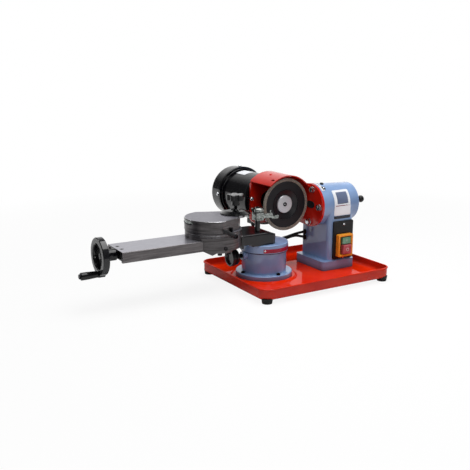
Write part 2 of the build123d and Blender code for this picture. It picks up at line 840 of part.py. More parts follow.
with BuildPart() as stop_block:
    block((post_x - block_left, post_x + block_right), (stop_y - block_front, stop_y + block_back),
          (block_base, block_top))
    fillet(stop_block.edges().filter_by(Axis.Z), block_corner)
    block((post_x - block_left, post_x + block_right),
          (finger_y - finger_thickness / 2 - slide_fit / 2, finger_y + finger_thickness / 2 + slide_fit / 2),
          (finger_base - slide_fit / 2, finger_base + finger_height + slide_fit / 2), Mode.SUBTRACT)
    rod_z(block_base, block_top, post_x, stop_y, post_stud_radius + turn_fit, Mode.SUBTRACT)

finger_left = post_x - finger_tail
finger_tip_x = post_x + finger_reach
with BuildPart() as stop_finger:
    tip_base = finger_base - finger_tip_drop
    step_x = finger_tip_x - finger_step
    outline = profile(Plane.XZ.offset(-finger_y - finger_thickness / 2), [
        (finger_left, finger_base), (step_x - finger_tip, finger_base), (step_x, tip_base),
        (finger_tip_x - finger_tip, tip_base), (finger_tip_x, tip_base + finger_tip),
        (finger_tip_x, tip_base + finger_tip_height), (step_x + finger_tip, tip_base + finger_tip_height),
        (step_x, finger_base + finger_height), (finger_left, finger_base + finger_height)])
    extrude(outline, amount=finger_thickness)
    finger_top = finger_base + finger_height
    rod_z(finger_top, finger_top + finger_pin_height, finger_tip_x - finger_pin_inset, finger_y,
          finger_pin_radius)

with BuildPart() as thumb_nut:
    with BuildSketch(Plane.XY.offset(block_top)):
        with Locations((post_x, stop_y)):
            Circle(thumb_radius)
            with PolarLocations(thumb_radius, thumb_teeth):
                Circle(thumb_tooth, mode=Mode.SUBTRACT)
            Circle(post_stud_radius + turn_fit, mode=Mode.SUBTRACT)
    extrude(amount=thumb_height)

# Column: hollow casting with a tapered head, a foot and a window behind the switch
cavity_top = head_z - quill_radius - column_roof
bore_left = flange_right + trunnion_thickness
quill_right = bore_left + quill_length
stem_half = stem_size / 2
module_left = frame_left + module_margin
module_right = frame_left + frame_width - module_margin
module_base = frame_base + module_margin
module_top = frame_base + frame_height - module_margin
switch_screw_places = [(plate_left_x + plate_width / 2, plate_base + plate_height - switch_screw_high),
                       (plate_left_x + plate_width / 2, plate_base + switch_screw_low)]
with BuildPart() as column:
    outline = profile(Plane.YZ.offset(column_left), [
        (column_front, floor), (column_back, floor), (column_back, head_z - column_shoulder),
        (column_head_back, head_z), (column_front, head_z)])
    extrude(outline, amount=column_right - column_left)
    fillet(column.edges().filter_by(Axis.Z), column_corner)
    with BuildSketch(Plane.XY.offset(floor)):
        with Locations((column_mid_x, column_mid_y)):
            RectangleRounded(column_foot_right - column_foot_left, column_back - column_foot_front,
                             column_foot_corner)
    extrude(amount=column_foot_height)
    outline = profile(Plane.XZ, [(head_left, head_z), (head_left, head_z + head_left_radius),
                       (head_right - head_edge, head_z + head_right_radius),
                       (head_right, head_z + head_right_radius - head_edge), (head_right, head_z)])
    revolve(outline, axis=head_axis)
    block((column_left + column_wall, column_right - column_wall),
          (column_front + column_wall, column_back - column_wall), (floor, cavity_top), Mode.SUBTRACT)
    rod_x(head_left, bore_left + air, 0, head_z, trunnion_radius + air, Mode.SUBTRACT)
    rod_x(bore_left, quill_right + air, 0, head_z, quill_radius + turn_fit, Mode.SUBTRACT)
    rod_x(quill_right, head_right, 0, head_z, rod_radius + turn_fit, Mode.SUBTRACT)
    block((module_left - air, module_right + air), (column_front, column_front + column_wall),
          (module_base - air, module_top + air), Mode.SUBTRACT)
    for z in (lead_high, lead_low):
        rod_x(column_left, column_left + column_wall, lead_y, z, grommet_radius, Mode.SUBTRACT)
    rod_y(column_back - column_wall, column_back, gland_x, gland_z, gland_radius - gland_step, Mode.SUBTRACT)
    for x, y in column_bolt_places:
        rod_z(floor, floor + column_bolt_depth, x, y, column_bolt_radius + screw_fit, Mode.SUBTRACT)
    for x, z in switch_screw_places:
        rod_y(column_front, column_front + column_wall, x, z, switch_screw_radius + screw_fit, Mode.SUBTRACT)

with BuildPart() as column_bolts:
    for x, y in column_bolt_places:
        rod_z(0, floor + column_bolt_depth - air, x, y, column_bolt_radius)
        with BuildSketch(Plane.XY.offset(-column_bolt_head_height)):
            with Locations((x, y)):
                RegularPolygon(column_bolt_head, 6)
        extrude(amount=column_bolt_head_height)

head_slope = (head_left_radius - head_right_radius) / (head_right - head_edge - head_left)
bevel_left = head_left + bevel_inset
bevel_low = head_z + head_left_radius - head_slope * bevel_inset
bevel_drop = head_slope * bevel_width
with BuildPart() as bevel_scale:
    outline = profile(Plane.XZ, [(bevel_left, bevel_low), (bevel_left, bevel_low + bevel_thickness),
                       (bevel_left + bevel_width, bevel_low + bevel_thickness - bevel_drop),
                       (bevel_left + bevel_width, bevel_low - bevel_drop)])
    revolve(outline, axis=head_axis, revolution_arc=bevel_to - bevel_from)
tip = Location((0, 0, head_z)) * Rotation(bevel_from - 90, 0, 0) * Location((0, 0, -head_z))
bevel_scale.part = bevel_scale.part.moved(tip)

# Switch
plate_face = column_front - plate_depth
frame_face = plate_face - frame_depth
with BuildPart() as switch_plate:
    with BuildSketch(Plane.XZ.offset(-column_front)):
        with Locations((plate_left_x + plate_width / 2, plate_base + plate_height / 2)):
            RectangleRounded(plate_width, plate_height, plate_corner)
    extrude(amount=plate_depth)
    chamfer(switch_plate.faces().sort_by(Axis.Y)[0].edges(), plate_edge)
    for base, height in ((stop_base, stop_height), (start_base, start_height)):
        block((button_x - stem_half - slide_fit, button_x + stem_half + slide_fit),
              (plate_face, column_front),
              (base + height / 2 - stem_half - slide_fit, base + height / 2 + stem_half + slide_fit),
              Mode.SUBTRACT)
    for x, z in switch_screw_places:
        rod_y(plate_face, column_front, x, z, switch_screw_radius + screw_fit, Mode.SUBTRACT)

with BuildPart() as switch_frame:
    with BuildSketch(Plane.XZ.offset(-plate_face)):
        with Locations((frame_left + frame_width / 2, frame_base + frame_height / 2)):
            RectangleRounded(frame_width, frame_height, frame_corner)
            Rectangle(frame_width - 2 * frame_border, frame_height - 2 * frame_border, mode=Mode.SUBTRACT)
    extrude(amount=frame_depth)
    chamfer(switch_frame.faces().sort_by(Axis.Y)[0].edges(), frame_edge)

with BuildPart() as switch_module:
    block((module_left, module_right), (column_front, column_front + module_depth), (module_base, module_top))
    for base, height in ((stop_base, stop_height), (start_base, start_height)):
        block((button_x - stem_half - slide_fit, button_x + stem_half + slide_fit),
              (column_front, column_front + button_travel + 4 * air),
              (base + height / 2 - stem_half - slide_fit, base + height / 2 + stem_half + slide_fit),
              Mode.SUBTRACT)

button_back = plate_face - button_travel - air


def button(base, height, face):
    middle = base + height / 2
    block((button_x - button_width / 2, button_x + button_width / 2), (face, button_back),
          (base, base + height))
    block((button_x - stem_half, button_x + stem_half), (button_back, column_front),
          (middle - stem_half, middle + stem_half))


with BuildPart() as stop_button:
    button(stop_base, stop_height, frame_face - stop_proud)
    fillet(stop_button.faces().sort_by(Axis.Y)[0].edges(), stop_round)

with BuildPart() as start_button:
    button(start_base, start_height, frame_face + button_sunk)
    fillet(start_button.faces().sort_by(Axis.Y)[0].edges(), start_round)

lead_bore = lead_radius + 4 * air
with BuildPart() as cable_grommets:
    for z in (lead_high, lead_low):
        rod_x(column_left - grommet_flange, column_left, lead_y, z, grommet_radius + grommet_lip)
        rod_x(column_left, column_left + column_wall, lead_y, z, grommet_radius - screw_fit)
        rod_x(column_left - grommet_flange, column_left + column_wall, lead_y, z, lead_bore, Mode.SUBTRACT)
    rod_y(column_back - column_wall, column_back, gland_x, gland_z, gland_radius - gland_step - screw_fit)
    rod_y(column_back, column_back + gland_length, gland_x, gland_z, gland_radius)
    chamfer(rings(cable_grommets, gland_radius, column_back + gland_length, 1), gland_edge)
    rod_y(column_back - column_wall, column_back + gland_length, gland_x, gland_z, gland_bore, Mode.SUBTRACT)

# Feed sleeve with its pull rod and ball, and the trunnion that the head tilts on
with BuildPart() as feed_sleeve:
    outline = profile(Plane.XZ, [(x, head_z + r) for x, r in (
        (flange_right + quill_gap, 0), (flange_right + quill_gap, trunnion_nose),
        (bore_left + air, trunnion_nose),
        (bore_left + air, quill_radius - quill_edge), (bore_left + air + quill_edge, quill_radius),
        (quill_right, quill_radius),
        (quill_right, rod_radius), (head_right + rod_length, rod_radius), (head_right + rod_length, 0))])
    revolve(outline, axis=head_axis)

ball_x = head_right + rod_length + ball_radius / 2
with BuildPart() as pull_knob:
    with Locations((ball_x, 0, head_z)):
        Sphere(ball_radius)
    rod_x(head_right + rod_length - ball_radius, head_right + rod_length, 0, head_z, rod_radius + screw_fit,
          Mode.SUBTRACT)

bolt_places = [(-bolt_circle * cos(radians(a)), head_z + bolt_circle * sin(radians(a))) for a in bolt_angles]
with BuildPart() as trunnion:
    rod_x(flange_right, bore_left, 0, head_z, trunnion_radius)
    rod_x(flange_right, bore_left, 0, head_z, trunnion_nose + turn_fit, Mode.SUBTRACT)
    for y, z in bolt_places:
        rod_x(flange_right, bore_left, y, z, bolt_radius + screw_fit, Mode.SUBTRACT)

# Head bracket: motor plate, flange disc and the web between them
shield_screw_places = [(shield_screw_circle * cos(radians(a + shield_screw_turn)),
                        shield_screw_circle * sin(radians(a + shield_screw_turn))) for a in quarter_turns]
plate_radius = guard_radius - guard_sheet - air
web_low = wheel_z - head_z + web_bottom
with BuildPart() as head_bracket:
    with BuildSketch(Plane((wheel_x, plate_front, wheel_z), x_dir=(1, 0, 0), z_dir=(0, -1, 0))):
        Circle(plate_radius)
        with BuildLine():
            Polyline((-plate_left, -plate_drop), (plate_radius, -plate_drop), (plate_radius, plate_radius),
                     (-plate_left, plate_radius), close=True)
        make_face(mode=Mode.INTERSECT)
        with BuildLine():
            Polyline((0, -web_low), (flange_right - wheel_x, -web_low),
                     (flange_right - wheel_x, web_top - wheel_rise), (0, web_top - wheel_rise), close=True)
        make_face()
        Circle(plate_hole, mode=Mode.SUBTRACT)
        with Locations(*shield_screw_places):
            Circle(shield_screw_radius + screw_fit, mode=Mode.SUBTRACT)
    extrude(amount=-plate_thickness)
    with BuildSketch(Plane.YZ.offset(flange_x)) as web:
        with BuildLine() as outline:
            CenterArc((0, head_z), flange_radius, 0, 360)
            Line((plate_back, head_z - web_bottom), (plate_back, head_z + web_top))
        make_hull(outline.edges())
    extrude(amount=flange_thickness)
    rod_x(flange_x, flange_right, 0, head_z, flange_hole, Mode.SUBTRACT)
    for y, z in bolt_places:
        rod_x(flange_x, flange_right, y, z, bolt_radius + screw_fit, Mode.SUBTRACT)

with BuildPart() as flange_bolts:
    for y, z in bolt_places:
        rod_x(flange_x, flange_x + bolt_grip, y, z, bolt_radius)
        rod_x(flange_x - bolt_washer_thickness, flange_x, y, z, bolt_washer)
        with BuildSketch(Plane.YZ.offset(flange_x - bolt_washer_thickness - bolt_head_height)):
            with Locations((y, z)):
                RegularPolygon(bolt_head, 6, rotation=30)
        extrude(amount=bolt_head_height)

# Guard: rolled hood round the wheel, run straight to the flange
guard_inner = guard_radius - guard_sheet
reach = flange_x - wheel_x
end_cos = cos(radians(guard_end))
end_sin = sin(radians(guard_end))
start_cos = cos(radians(guard_start))
start_sin = sin(radians(guard_start))
outer_run = (reach - guard_radius * end_cos) / end_sin
inner_run = (reach - guard_inner * end_cos) / end_sin
slot_mid = radians(guard_slot_angle)
with BuildPart() as wheel_guard:
    with BuildSketch(Plane((wheel_x, guard_front, wheel_z), x_dir=(1, 0, 0), z_dir=(0, -1, 0))):
        Circle(guard_radius)
        Circle(guard_inner, mode=Mode.SUBTRACT)
        with BuildLine():
            Polyline((0, 0), (2 * guard_radius * end_cos, 2 * guard_radius * end_sin),
                     (2 * guard_radius * end_cos, 2 * guard_radius),
                     (2 * guard_radius * start_cos, 2 * guard_radius),
                     (2 * guard_radius * start_cos, 2 * guard_radius * start_sin), close=True)
        make_face(mode=Mode.INTERSECT)
        with BuildLine():
            Polyline((guard_radius * end_cos, guard_radius * end_sin),
                     (reach, guard_radius * end_sin - outer_run * end_cos),
                     (reach, guard_inner * end_sin - inner_run * end_cos),
                     (guard_inner * end_cos, guard_inner * end_sin), close=True)
        make_face()
    extrude(amount=guard_front - plate_back)
    slot_x = wheel_x + guard_radius * cos(slot_mid)
    slot_z = wheel_z + guard_radius * sin(slot_mid)
    slot_plane = Plane((slot_x, guard_slot_y, slot_z), x_dir=(0, 1, 0),
                       z_dir=(cos(slot_mid), 0, sin(slot_mid)))
    with BuildSketch(slot_plane):
        SlotOverall(guard_slot_length, guard_slot_width)
    extrude(amount=guard_sheet, both=True, mode=Mode.SUBTRACT)

# Motor
shield_bore = bearing_radius + screw_fit
shaft_hole = shaft_radius + shaft_clearance
motor_bore = motor_radius - motor_wall
with BuildPart() as motor_shield:
    outline = profile(motor_plane, [
        (plate_back, shaft_hole), (plate_back, shield_radius - shield_edge),
        (plate_back + shield_edge, shield_radius),
        (motor_front, shield_radius), (motor_front, motor_bore - screw_fit),
        (motor_front + bearing_width, motor_bore - screw_fit), (motor_front + bearing_width, shield_bore),
        (motor_front, shield_bore), (motor_front, shaft_hole)])
    revolve(outline, axis=motor_axis)
    for x, z in shield_screw_places:
        rod_y(plate_back, motor_front, wheel_x + x, wheel_z + z, shield_screw_radius + screw_fit,
              Mode.SUBTRACT)

ring_radius = cowl_radius - cowl_sheet - screw_fit
stator_front = (motor_front + motor_back - stator_length) / 2
stator_back = stator_front + stator_length
ring_back = cowl_front - cowl_groove
cowl_slope = (cowl_radius - cowl_end_radius) / (cowl_length - cowl_edge)
with BuildPart() as motor_body:
    outline = profile(motor_plane, [
        (motor_front, motor_bore), (motor_front, motor_radius), (ring_back - cowl_ring, motor_radius),
        (ring_back - cowl_ring, cowl_radius), (ring_back, cowl_radius), (ring_back, ring_radius),
        (motor_back, ring_radius - cowl_slope * cowl_overlap), (motor_back, motor_bore),
        (stator_back, motor_bore), (stator_back, stator_radius),
        (stator_front, stator_radius), (stator_front, motor_bore)])
    revolve(outline, axis=motor_axis)
    for a in quarter_turns:
        x = wheel_x + ring_radius * cos(radians(a))
        z = wheel_z + ring_radius * sin(radians(a))
        with Locations(Location((x, (cowl_front + motor_back) / 2, z), (0, -90 - a, 0))):
            Cylinder(cowl_screw_radius + screw_fit, cowl_ring * 2, mode=Mode.SUBTRACT)

rear_bearing = motor_back - rear_shield_thickness
with BuildPart() as rear_shield:
    outline = profile(motor_plane, [
        (rear_bearing, shield_bore), (rear_bearing, motor_bore - screw_fit),
        (motor_back, motor_bore - screw_fit), (motor_back, shaft_hole),
        (motor_back - bearing_lip, shaft_hole), (motor_back - bearing_lip, shield_bore)])
    revolve(outline, axis=motor_axis)

with BuildPart() as motor_bearings:
    for y in (motor_front, motor_back - bearing_lip - bearing_width):
        rod_y(y, y + bearing_width, wheel_x, wheel_z, bearing_radius)
        rod_y(y, y + bearing_width, wheel_x, wheel_z, shaft_radius + turn_fit, Mode.SUBTRACT)

fan_front = motor_back + fan_gap
fan_back = fan_front + fan_width
hub_back = wheel_back + hub_sleeve_length
shaft_front = hub_back - hub_sleeve_length + hub_flange_thickness
with BuildPart() as rotor_shaft:
    rod_y(shaft_front, fan_back, wheel_x, wheel_z, shaft_radius)
    rod_y(stator_front, stator_front + rotor_length, wheel_x, wheel_z, stator_radius - rotor_gap)

with BuildPart() as cooling_fan:
    with BuildSketch(Plane((wheel_x, fan_front, wheel_z), x_dir=(1, 0, 0), z_dir=(0, -1, 0))):
        Circle(fan_hub)
        with PolarLocations((fan_hub + fan_radius) / 2, fan_blades):
            Rectangle(fan_radius - fan_hub + fan_blade_root, fan_blade_sheet)
        Circle(shaft_radius + screw_fit, mode=Mode.SUBTRACT)
    extrude(amount=-fan_width)

with BuildPart() as fan_cowl:
    outline = profile(motor_plane, [
        (cowl_front, cowl_radius - cowl_sheet), (cowl_front, cowl_radius),
        (cowl_back - cowl_edge, cowl_end_radius),
        (cowl_back - cowl_edge * 0.3, cowl_end_radius - cowl_edge * 0.3),
        (cowl_back, cowl_end_radius - cowl_edge),
        (cowl_back, 0), (cowl_back - cowl_sheet, 0), (cowl_back - cowl_sheet, cowl_end_radius - cowl_edge),
        (cowl_back - cowl_edge, cowl_end_radius - cowl_sheet)])
    revolve(outline, axis=motor_axis)
    with BuildSketch(Plane((wheel_x, cowl_back, wheel_z), x_dir=(1, 0, 0), z_dir=(0, -1, 0))):
        with PolarLocations(vent_first + vent_length / 2, vents):
            SlotOverall(vent_length, vent_width)
    extrude(amount=cowl_sheet, mode=Mode.SUBTRACT)
    for a in quarter_turns:
        x = wheel_x + cowl_radius * cos(radians(a))
        z = wheel_z + cowl_radius * sin(radians(a))
        with Locations(Location((x, (cowl_front + motor_back) / 2, z), (0, -90 - a, 0))):
            Cylinder(cowl_screw_radius + screw_fit, cowl_ring * 2, mode=Mode.SUBTRACT)

with BuildPart() as head_screws:
    for a in quarter_turns:
        for radius, low, high in ((cowl_screw_radius, ring_radius - cowl_screw_bite, cowl_radius),
                                  (cowl_screw_head, cowl_radius, cowl_radius + cowl_screw_head_height)):
            middle = (low + high) / 2
            x = wheel_x + middle * cos(radians(a))
            z = wheel_z + middle * sin(radians(a))
            with Locations(Location((x, (cowl_front + motor_back) / 2, z), (0, -90 - a, 0))):
                Cylinder(radius, high - low)
    for x, z in shield_screw_places:
        rod_y(plate_front, motor_front - air, wheel_x + x, wheel_z + z, shield_screw_radius)
        rod_y(plate_front - shield_screw_head_height, plate_front, wheel_x + x, wheel_z + z,
              shield_screw_head)

box_mid_y = motor_front + box_y
box_base = wheel_z - motor_radius - box_drop
lead_places = [wheel_x + lead_spread / 2, wheel_x - lead_spread / 2]
with BuildPart() as terminal_box:
    block((wheel_x - box_length / 2, wheel_x + box_length / 2),
          (box_mid_y - box_width / 2, box_mid_y + box_width / 2),
          (box_base, wheel_z - motor_radius + box_drop))
    fillet(terminal_box.edges().filter_by(Axis.Z), box_corner)
    rod_y(motor_front, motor_back, wheel_x, wheel_z, motor_radius, Mode.SUBTRACT)

# Wheel and arbor
recess_floor = wheel_front + wheel_lip + recess_depth
body_radius = wheel_radius - abrasive_width
back_slope = (wheel_thickness - wheel_edge) / (wheel_radius - wheel_boss)
body_back = wheel_front + wheel_edge + back_slope * abrasive_width
with BuildPart() as arbor_hub:
    rod_y(recess_floor, wheel_back, wheel_x, wheel_z, bore_radius - screw_fit)
    rod_y(wheel_back, wheel_back + hub_flange_thickness, wheel_x, wheel_z, hub_flange_radius)
    rod_y(wheel_back + hub_flange_thickness, hub_back, wheel_x, wheel_z, hub_sleeve_radius)
    rod_y(shaft_front, hub_back, wheel_x, wheel_z, shaft_radius + screw_fit, Mode.SUBTRACT)

with BuildPart() as grinding_wheel:
    outline = profile(motor_plane, [
        (wheel_front + wheel_lip, body_radius), (wheel_front + wheel_lip, recess_radius),
        (recess_floor, recess_radius - recess_taper), (recess_floor, bore_radius), (wheel_back, bore_radius),
        (wheel_back, wheel_boss), (body_back, body_radius)])
    revolve(outline, axis=motor_axis)

with BuildPart() as abrasive_rim:
    outline = profile(motor_plane, [(wheel_front, body_radius), (wheel_front, wheel_radius),
                                    (wheel_front + wheel_edge, wheel_radius), (body_back, body_radius)])
    revolve(outline, axis=motor_axis)

with BuildPart() as hub_disc:
    rod_y(recess_floor - hub_disc_thickness, recess_floor, wheel_x, wheel_z, hub_disc_radius)
    chamfer(rings(hub_disc, hub_disc_radius, recess_floor - hub_disc_thickness, 1), hub_disc_edge)

# Motor leads: straight runs joined by arcs, from the terminal box into the column
lead_a_points = [
    (lead_places[0], box_mid_y, box_base), (lead_places[0], box_mid_y, 75), (2, 132, 58), (20, 110, 51),
    (37, 85, 59), (48, 66, 69), (59, 53, 76), (71, lead_y + 1, lead_high), (85, lead_y, lead_high),
    (99, lead_y, lead_high), (112, lead_y - 0.2, lead_high)]
lead_b_points = [
    (lead_places[1], box_mid_y, box_base), (lead_places[1], box_mid_y, 74), (-13, 130, 55), (6, 106, 42),
    (24, 82, 45), (39, 64, 54), (50, 53, 60), (62, lead_y + 1.5, lead_low - 1), (75, lead_y, lead_low),
    (88, lead_y, lead_low - 0.2), (100, lead_y - 0.2, lead_low), (111, lead_y - 0.2, lead_low - 0.2)]


def lead(points):
    stops = [Vector(*p) for p in points]
    runs = [b - a for a, b in zip(stops, stops[1:])]
    turns = [a.get_angle(b) for a, b in zip(runs, runs[1:])]
    bends = [0.45 * min(a.length, b.length) / tan(radians(t / 2)) for a, b, t in zip(runs, runs[1:], turns)]
    with BuildPart() as tube:
        with BuildLine() as path:
            FilletPolyline(*stops, radius=bends)
        with BuildSketch(Plane(path.line @ 0, z_dir=path.line % 0)):
            Circle(lead_radius)
        sweep()
    return tube


motor_lead_a = lead(lead_a_points)
motor_lead_b = lead(lead_b_points)

pieces = {
    "tray": tray, "rubber_feet": rubber_feet, "pot_base": pot_base, "pot_screws": pot_screws,
    "swivel_cap": swivel_cap, "pivot_bolt": pivot_bolt, "hook_scale": hook_scale,
    "lock_screw": lock_screw, "lock_wheel": lock_wheel, "rail_arm": rail_arm, "rail": rail,
    "end_bearing": end_bearing, "rail_screws": rail_screws, "lead_screw": lead_screw,
    "hand_wheel": hand_wheel, "crank_pin": crank_pin, "crank_grip": crank_grip, "saddle": saddle,
    "keeper_plate": keeper_plate, "lead_nut": lead_nut, "blade_table": blade_table,
    "carriage_screws": carriage_screws, "blade_seat": blade_seat, "clamp_stud": clamp_stud,
    "clamp_saucer": clamp_saucer, "clamp_knob": clamp_knob, "stop_post": stop_post,
    "stop_block": stop_block, "stop_finger": stop_finger, "thumb_nut": thumb_nut, "column": column,
    "column_bolts": column_bolts, "bevel_scale": bevel_scale, "switch_plate": switch_plate,
    "switch_frame": switch_frame, "switch_module": switch_module,
    "stop_button": stop_button, "start_button": start_button, "cable_grommets": cable_grommets,
    "feed_sleeve": feed_sleeve, "pull_knob": pull_knob, "trunnion": trunnion,
    "head_bracket": head_bracket, "flange_bolts": flange_bolts, "wheel_guard": wheel_guard,
    "motor_shield": motor_shield, "motor_body": motor_body, "rear_shield": rear_shield,
    "motor_bearings": motor_bearings, "rotor_shaft": rotor_shaft,
    "cooling_fan": cooling_fan, "fan_cowl": fan_cowl, "head_screws": head_screws,
    "terminal_box": terminal_box, "arbor_hub": arbor_hub, "grinding_wheel": grinding_wheel,
    "abrasive_rim": abrasive_rim, "hub_disc": hub_disc, "motor_lead_a": motor_lead_a,
    "motor_lead_b": motor_lead_b,
}
for name, piece in pieces.items():
    piece.part.label = name
    export_step(piece.part, "parts/" + name + ".step")
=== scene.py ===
"""Circular saw blade sharpener: finishes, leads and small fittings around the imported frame.

The frame's own axes: +X from the hand wheel to the column, +Y from the switch to the motor, +Z up.
Shapes are written in millimetres and made in metres. New pieces are numpy surfaces on grids of two
parameters.
"""

import bpy
import numpy as np
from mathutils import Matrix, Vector


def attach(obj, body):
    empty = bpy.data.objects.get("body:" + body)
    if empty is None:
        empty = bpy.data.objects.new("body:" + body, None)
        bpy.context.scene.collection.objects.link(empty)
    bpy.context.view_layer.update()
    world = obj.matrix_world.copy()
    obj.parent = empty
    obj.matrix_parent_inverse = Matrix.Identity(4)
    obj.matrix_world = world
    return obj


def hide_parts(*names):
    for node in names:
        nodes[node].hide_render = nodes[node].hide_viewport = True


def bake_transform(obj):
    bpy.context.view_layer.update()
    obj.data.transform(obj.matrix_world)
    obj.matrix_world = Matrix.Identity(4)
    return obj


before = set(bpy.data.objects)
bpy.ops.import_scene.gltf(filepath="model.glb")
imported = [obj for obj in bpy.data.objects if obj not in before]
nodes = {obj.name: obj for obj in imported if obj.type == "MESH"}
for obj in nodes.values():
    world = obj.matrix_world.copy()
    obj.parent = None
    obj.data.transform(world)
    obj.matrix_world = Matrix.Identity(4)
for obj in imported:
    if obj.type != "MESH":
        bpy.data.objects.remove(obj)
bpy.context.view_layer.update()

MM = 0.001
LEFT, RIGHT = (-1, 0, 0), (1, 0, 0)
FRONT, BACK = (0, -1, 0), (0, 1, 0)
DOWN, UP = (0, 0, -1), (0, 0, 1)

# Places from the model, in millimetres
MOTOR_X, MOTOR_Z, MOTOR_R = -12.0, 163.5, 59.0
MOTOR_AXIS = (MOTOR_X, 0, MOTOR_Z)
HEAD_Z, HEAD_LEFT, HEAD_R, HEAD_SLOPE = 157.5, 60.0, 51.5, 0.0413
COLUMN_HALF, FLANGE_X = 49.0, 53.5
POT_X, CAP_R = -77.0, 56.5
SCALE_THICK, PLATE_THICK = 0.6, 0.5
CARRIAGE_X, TABLE_R, SADDLE_R = -213.0, 65.0, 64.0
RAIL_TOP, LEAD_SCREW_Z, LOCK_SCREW_Z = 114.0, 101.2, 55.7
CLAMP_X, NUT_X, NUT_Y = -155.0, -109.0, -21.0
POT_SCREWS_R, FLANGE_BOLTS_R, COWL_SCREWS_R, SHIELD_SCREWS_R = 59.0, 41.0, 67.5, 50.0
COWL_SCREWS_Y, SHIELD_Y, HUB_Y, HOOD_Y, HOOD_R = 219.0, 80.0, 10.1, 44.3, 71.0
SWITCH_X, SWITCH_Y, BUTTON_X, START_Y, STOP_Y = 118.0, -54.0, 121.0, -64.0, -68.0
BOX_Y, BOX_FOOT, LEAD_R = 141.0, 94.5, 3.25
TRAY_FLOOR, FLOOR_Z = 1.5, -12.0
# The dark colour mixed into enamel walls as painted shade
PAINTED_SHADE_COLOUR = "#2a161c"


def linear(code):
    """sRGB hex to linear: c / 12.92 up to 0.04045, and ((c + 0.055) / 1.055) ** 2.4 above it."""
    c = np.array([int(code[i:i + 2], 16) for i in (1, 3, 5)]) / 255
    return (*np.where(c <= 0.04045, c / 12.92, ((c + 0.055) / 1.055) ** 2.4).tolist(), 1.0)


def add(tree, kind, sockets=(), links=(), stops=(), **settings):
    """Adds one node: its settings, its sockets' own values, its ramp's stops and its incoming links.
    A link comes from a socket, or from the first output of a node."""
    node = tree.nodes.new("ShaderNode" + kind)
    for key, value in settings.items():
        setattr(node, key, value)
    for key, value in dict(sockets).items():
        node.inputs[key].default_value = linear(value) if isinstance(value, str) else value
    for key, source in dict(links).items():
        tree.links.new(getattr(source, "outputs", (source,))[0], node.inputs[key])
    for i, (place, code) in enumerate(stops):
        ramp = node.color_ramp.elements
        stop = ramp[i] if i < 2 else ramp.new(place)
        stop.position = place
        stop.color = linear(code)
    return node


def surface(name):
    """An empty material, and the coordinates of the piece that it is on."""
    material = bpy.data.materials.new(name)
    material.use_nodes = True
    material.node_tree.nodes.clear()
    return material, material.node_tree, add(material.node_tree, "TexCoord")


def shaded(material, even, patterns):
    """Ends a material in one Principled shader: even values on its own sockets, patterns by links."""
    shader = add(material.node_tree, "BsdfPrincipled", even, patterns)
    add(material.node_tree, "OutputMaterial", links={"Surface": shader})
    return material


def enamel(name, thin, full, roughness, coat, peel_mm, peel_depth,
           film_gloss=0.15, shade=0.0, painted_low_shade=0.0):
    """Sprayed enamel. The film pools, so its colour drifts over 70 mm. Haze of 9 mm and orange peel of
    peel_mm break the gloss, and the film rounds every edge over 1.2 mm. Upright walls carry painted
    shade: they are darker by one amount all the way up, and by a second amount more over the last
    13 mm above the tray."""
    material, tree, place = surface(name)
    here = place.outputs["Object"]
    drift = add(tree, "TexNoise", {"Scale": 1 / (70 * MM), "Detail": 3.0}, {"Vector": here})
    film = add(tree, "ValToRGB", links={"Fac": drift}, stops=((0.3, thin), (0.7, full)))
    # Painted shade: upright faces are mixed towards a dark colour, most of all just above the tray
    if shade or painted_low_shade:
        height = add(tree, "SeparateXYZ", links={0: here})
        near = add(tree, "MapRange",
                   {"From Min": TRAY_FLOOR * MM, "From Max": (TRAY_FLOOR + 13) * MM,
                    "To Min": shade + painted_low_shade, "To Max": shade}, {"Value": height.outputs["Z"]})
        look = add(tree, "SeparateXYZ", links={0: place.outputs["Normal"]})
        wall = add(tree, "MapRange", {"From Min": 0.9, "From Max": 0.2}, {"Value": look.outputs["Z"]})
        dark = add(tree, "Math", links={0: near, 1: wall}, operation="MULTIPLY")
        film = add(tree, "MixRGB", {"Color2": PAINTED_SHADE_COLOUR}, {"Fac": dark, "Color1": film})
    haze = add(tree, "TexNoise", {"Scale": 1 / (9 * MM), "Detail": 5.0}, {"Vector": here})
    dull = add(tree, "MapRange",
               {"From Min": 0.3, "From Max": 0.75, "To Min": roughness * 0.8, "To Max": roughness * 1.3},
               {"Value": haze})
    peel = add(tree, "TexNoise", {"Scale": 1 / (peel_mm * MM), "Detail": 2.0}, {"Vector": here})
    rounded = add(tree, "Bevel", {"Radius": 1.2 * MM}, samples=4)
    bump = add(tree, "Bump", {"Strength": 0.35, "Distance": peel_depth * MM},
               {"Height": peel, "Normal": rounded})
    even = {"Specular IOR Level": film_gloss, "Coat Weight": coat, "Coat Roughness": 0.04, "Coat IOR": 1.5}
    return shaded(material, even, {"Base Color": film, "Roughness": dull, "Normal": bump})


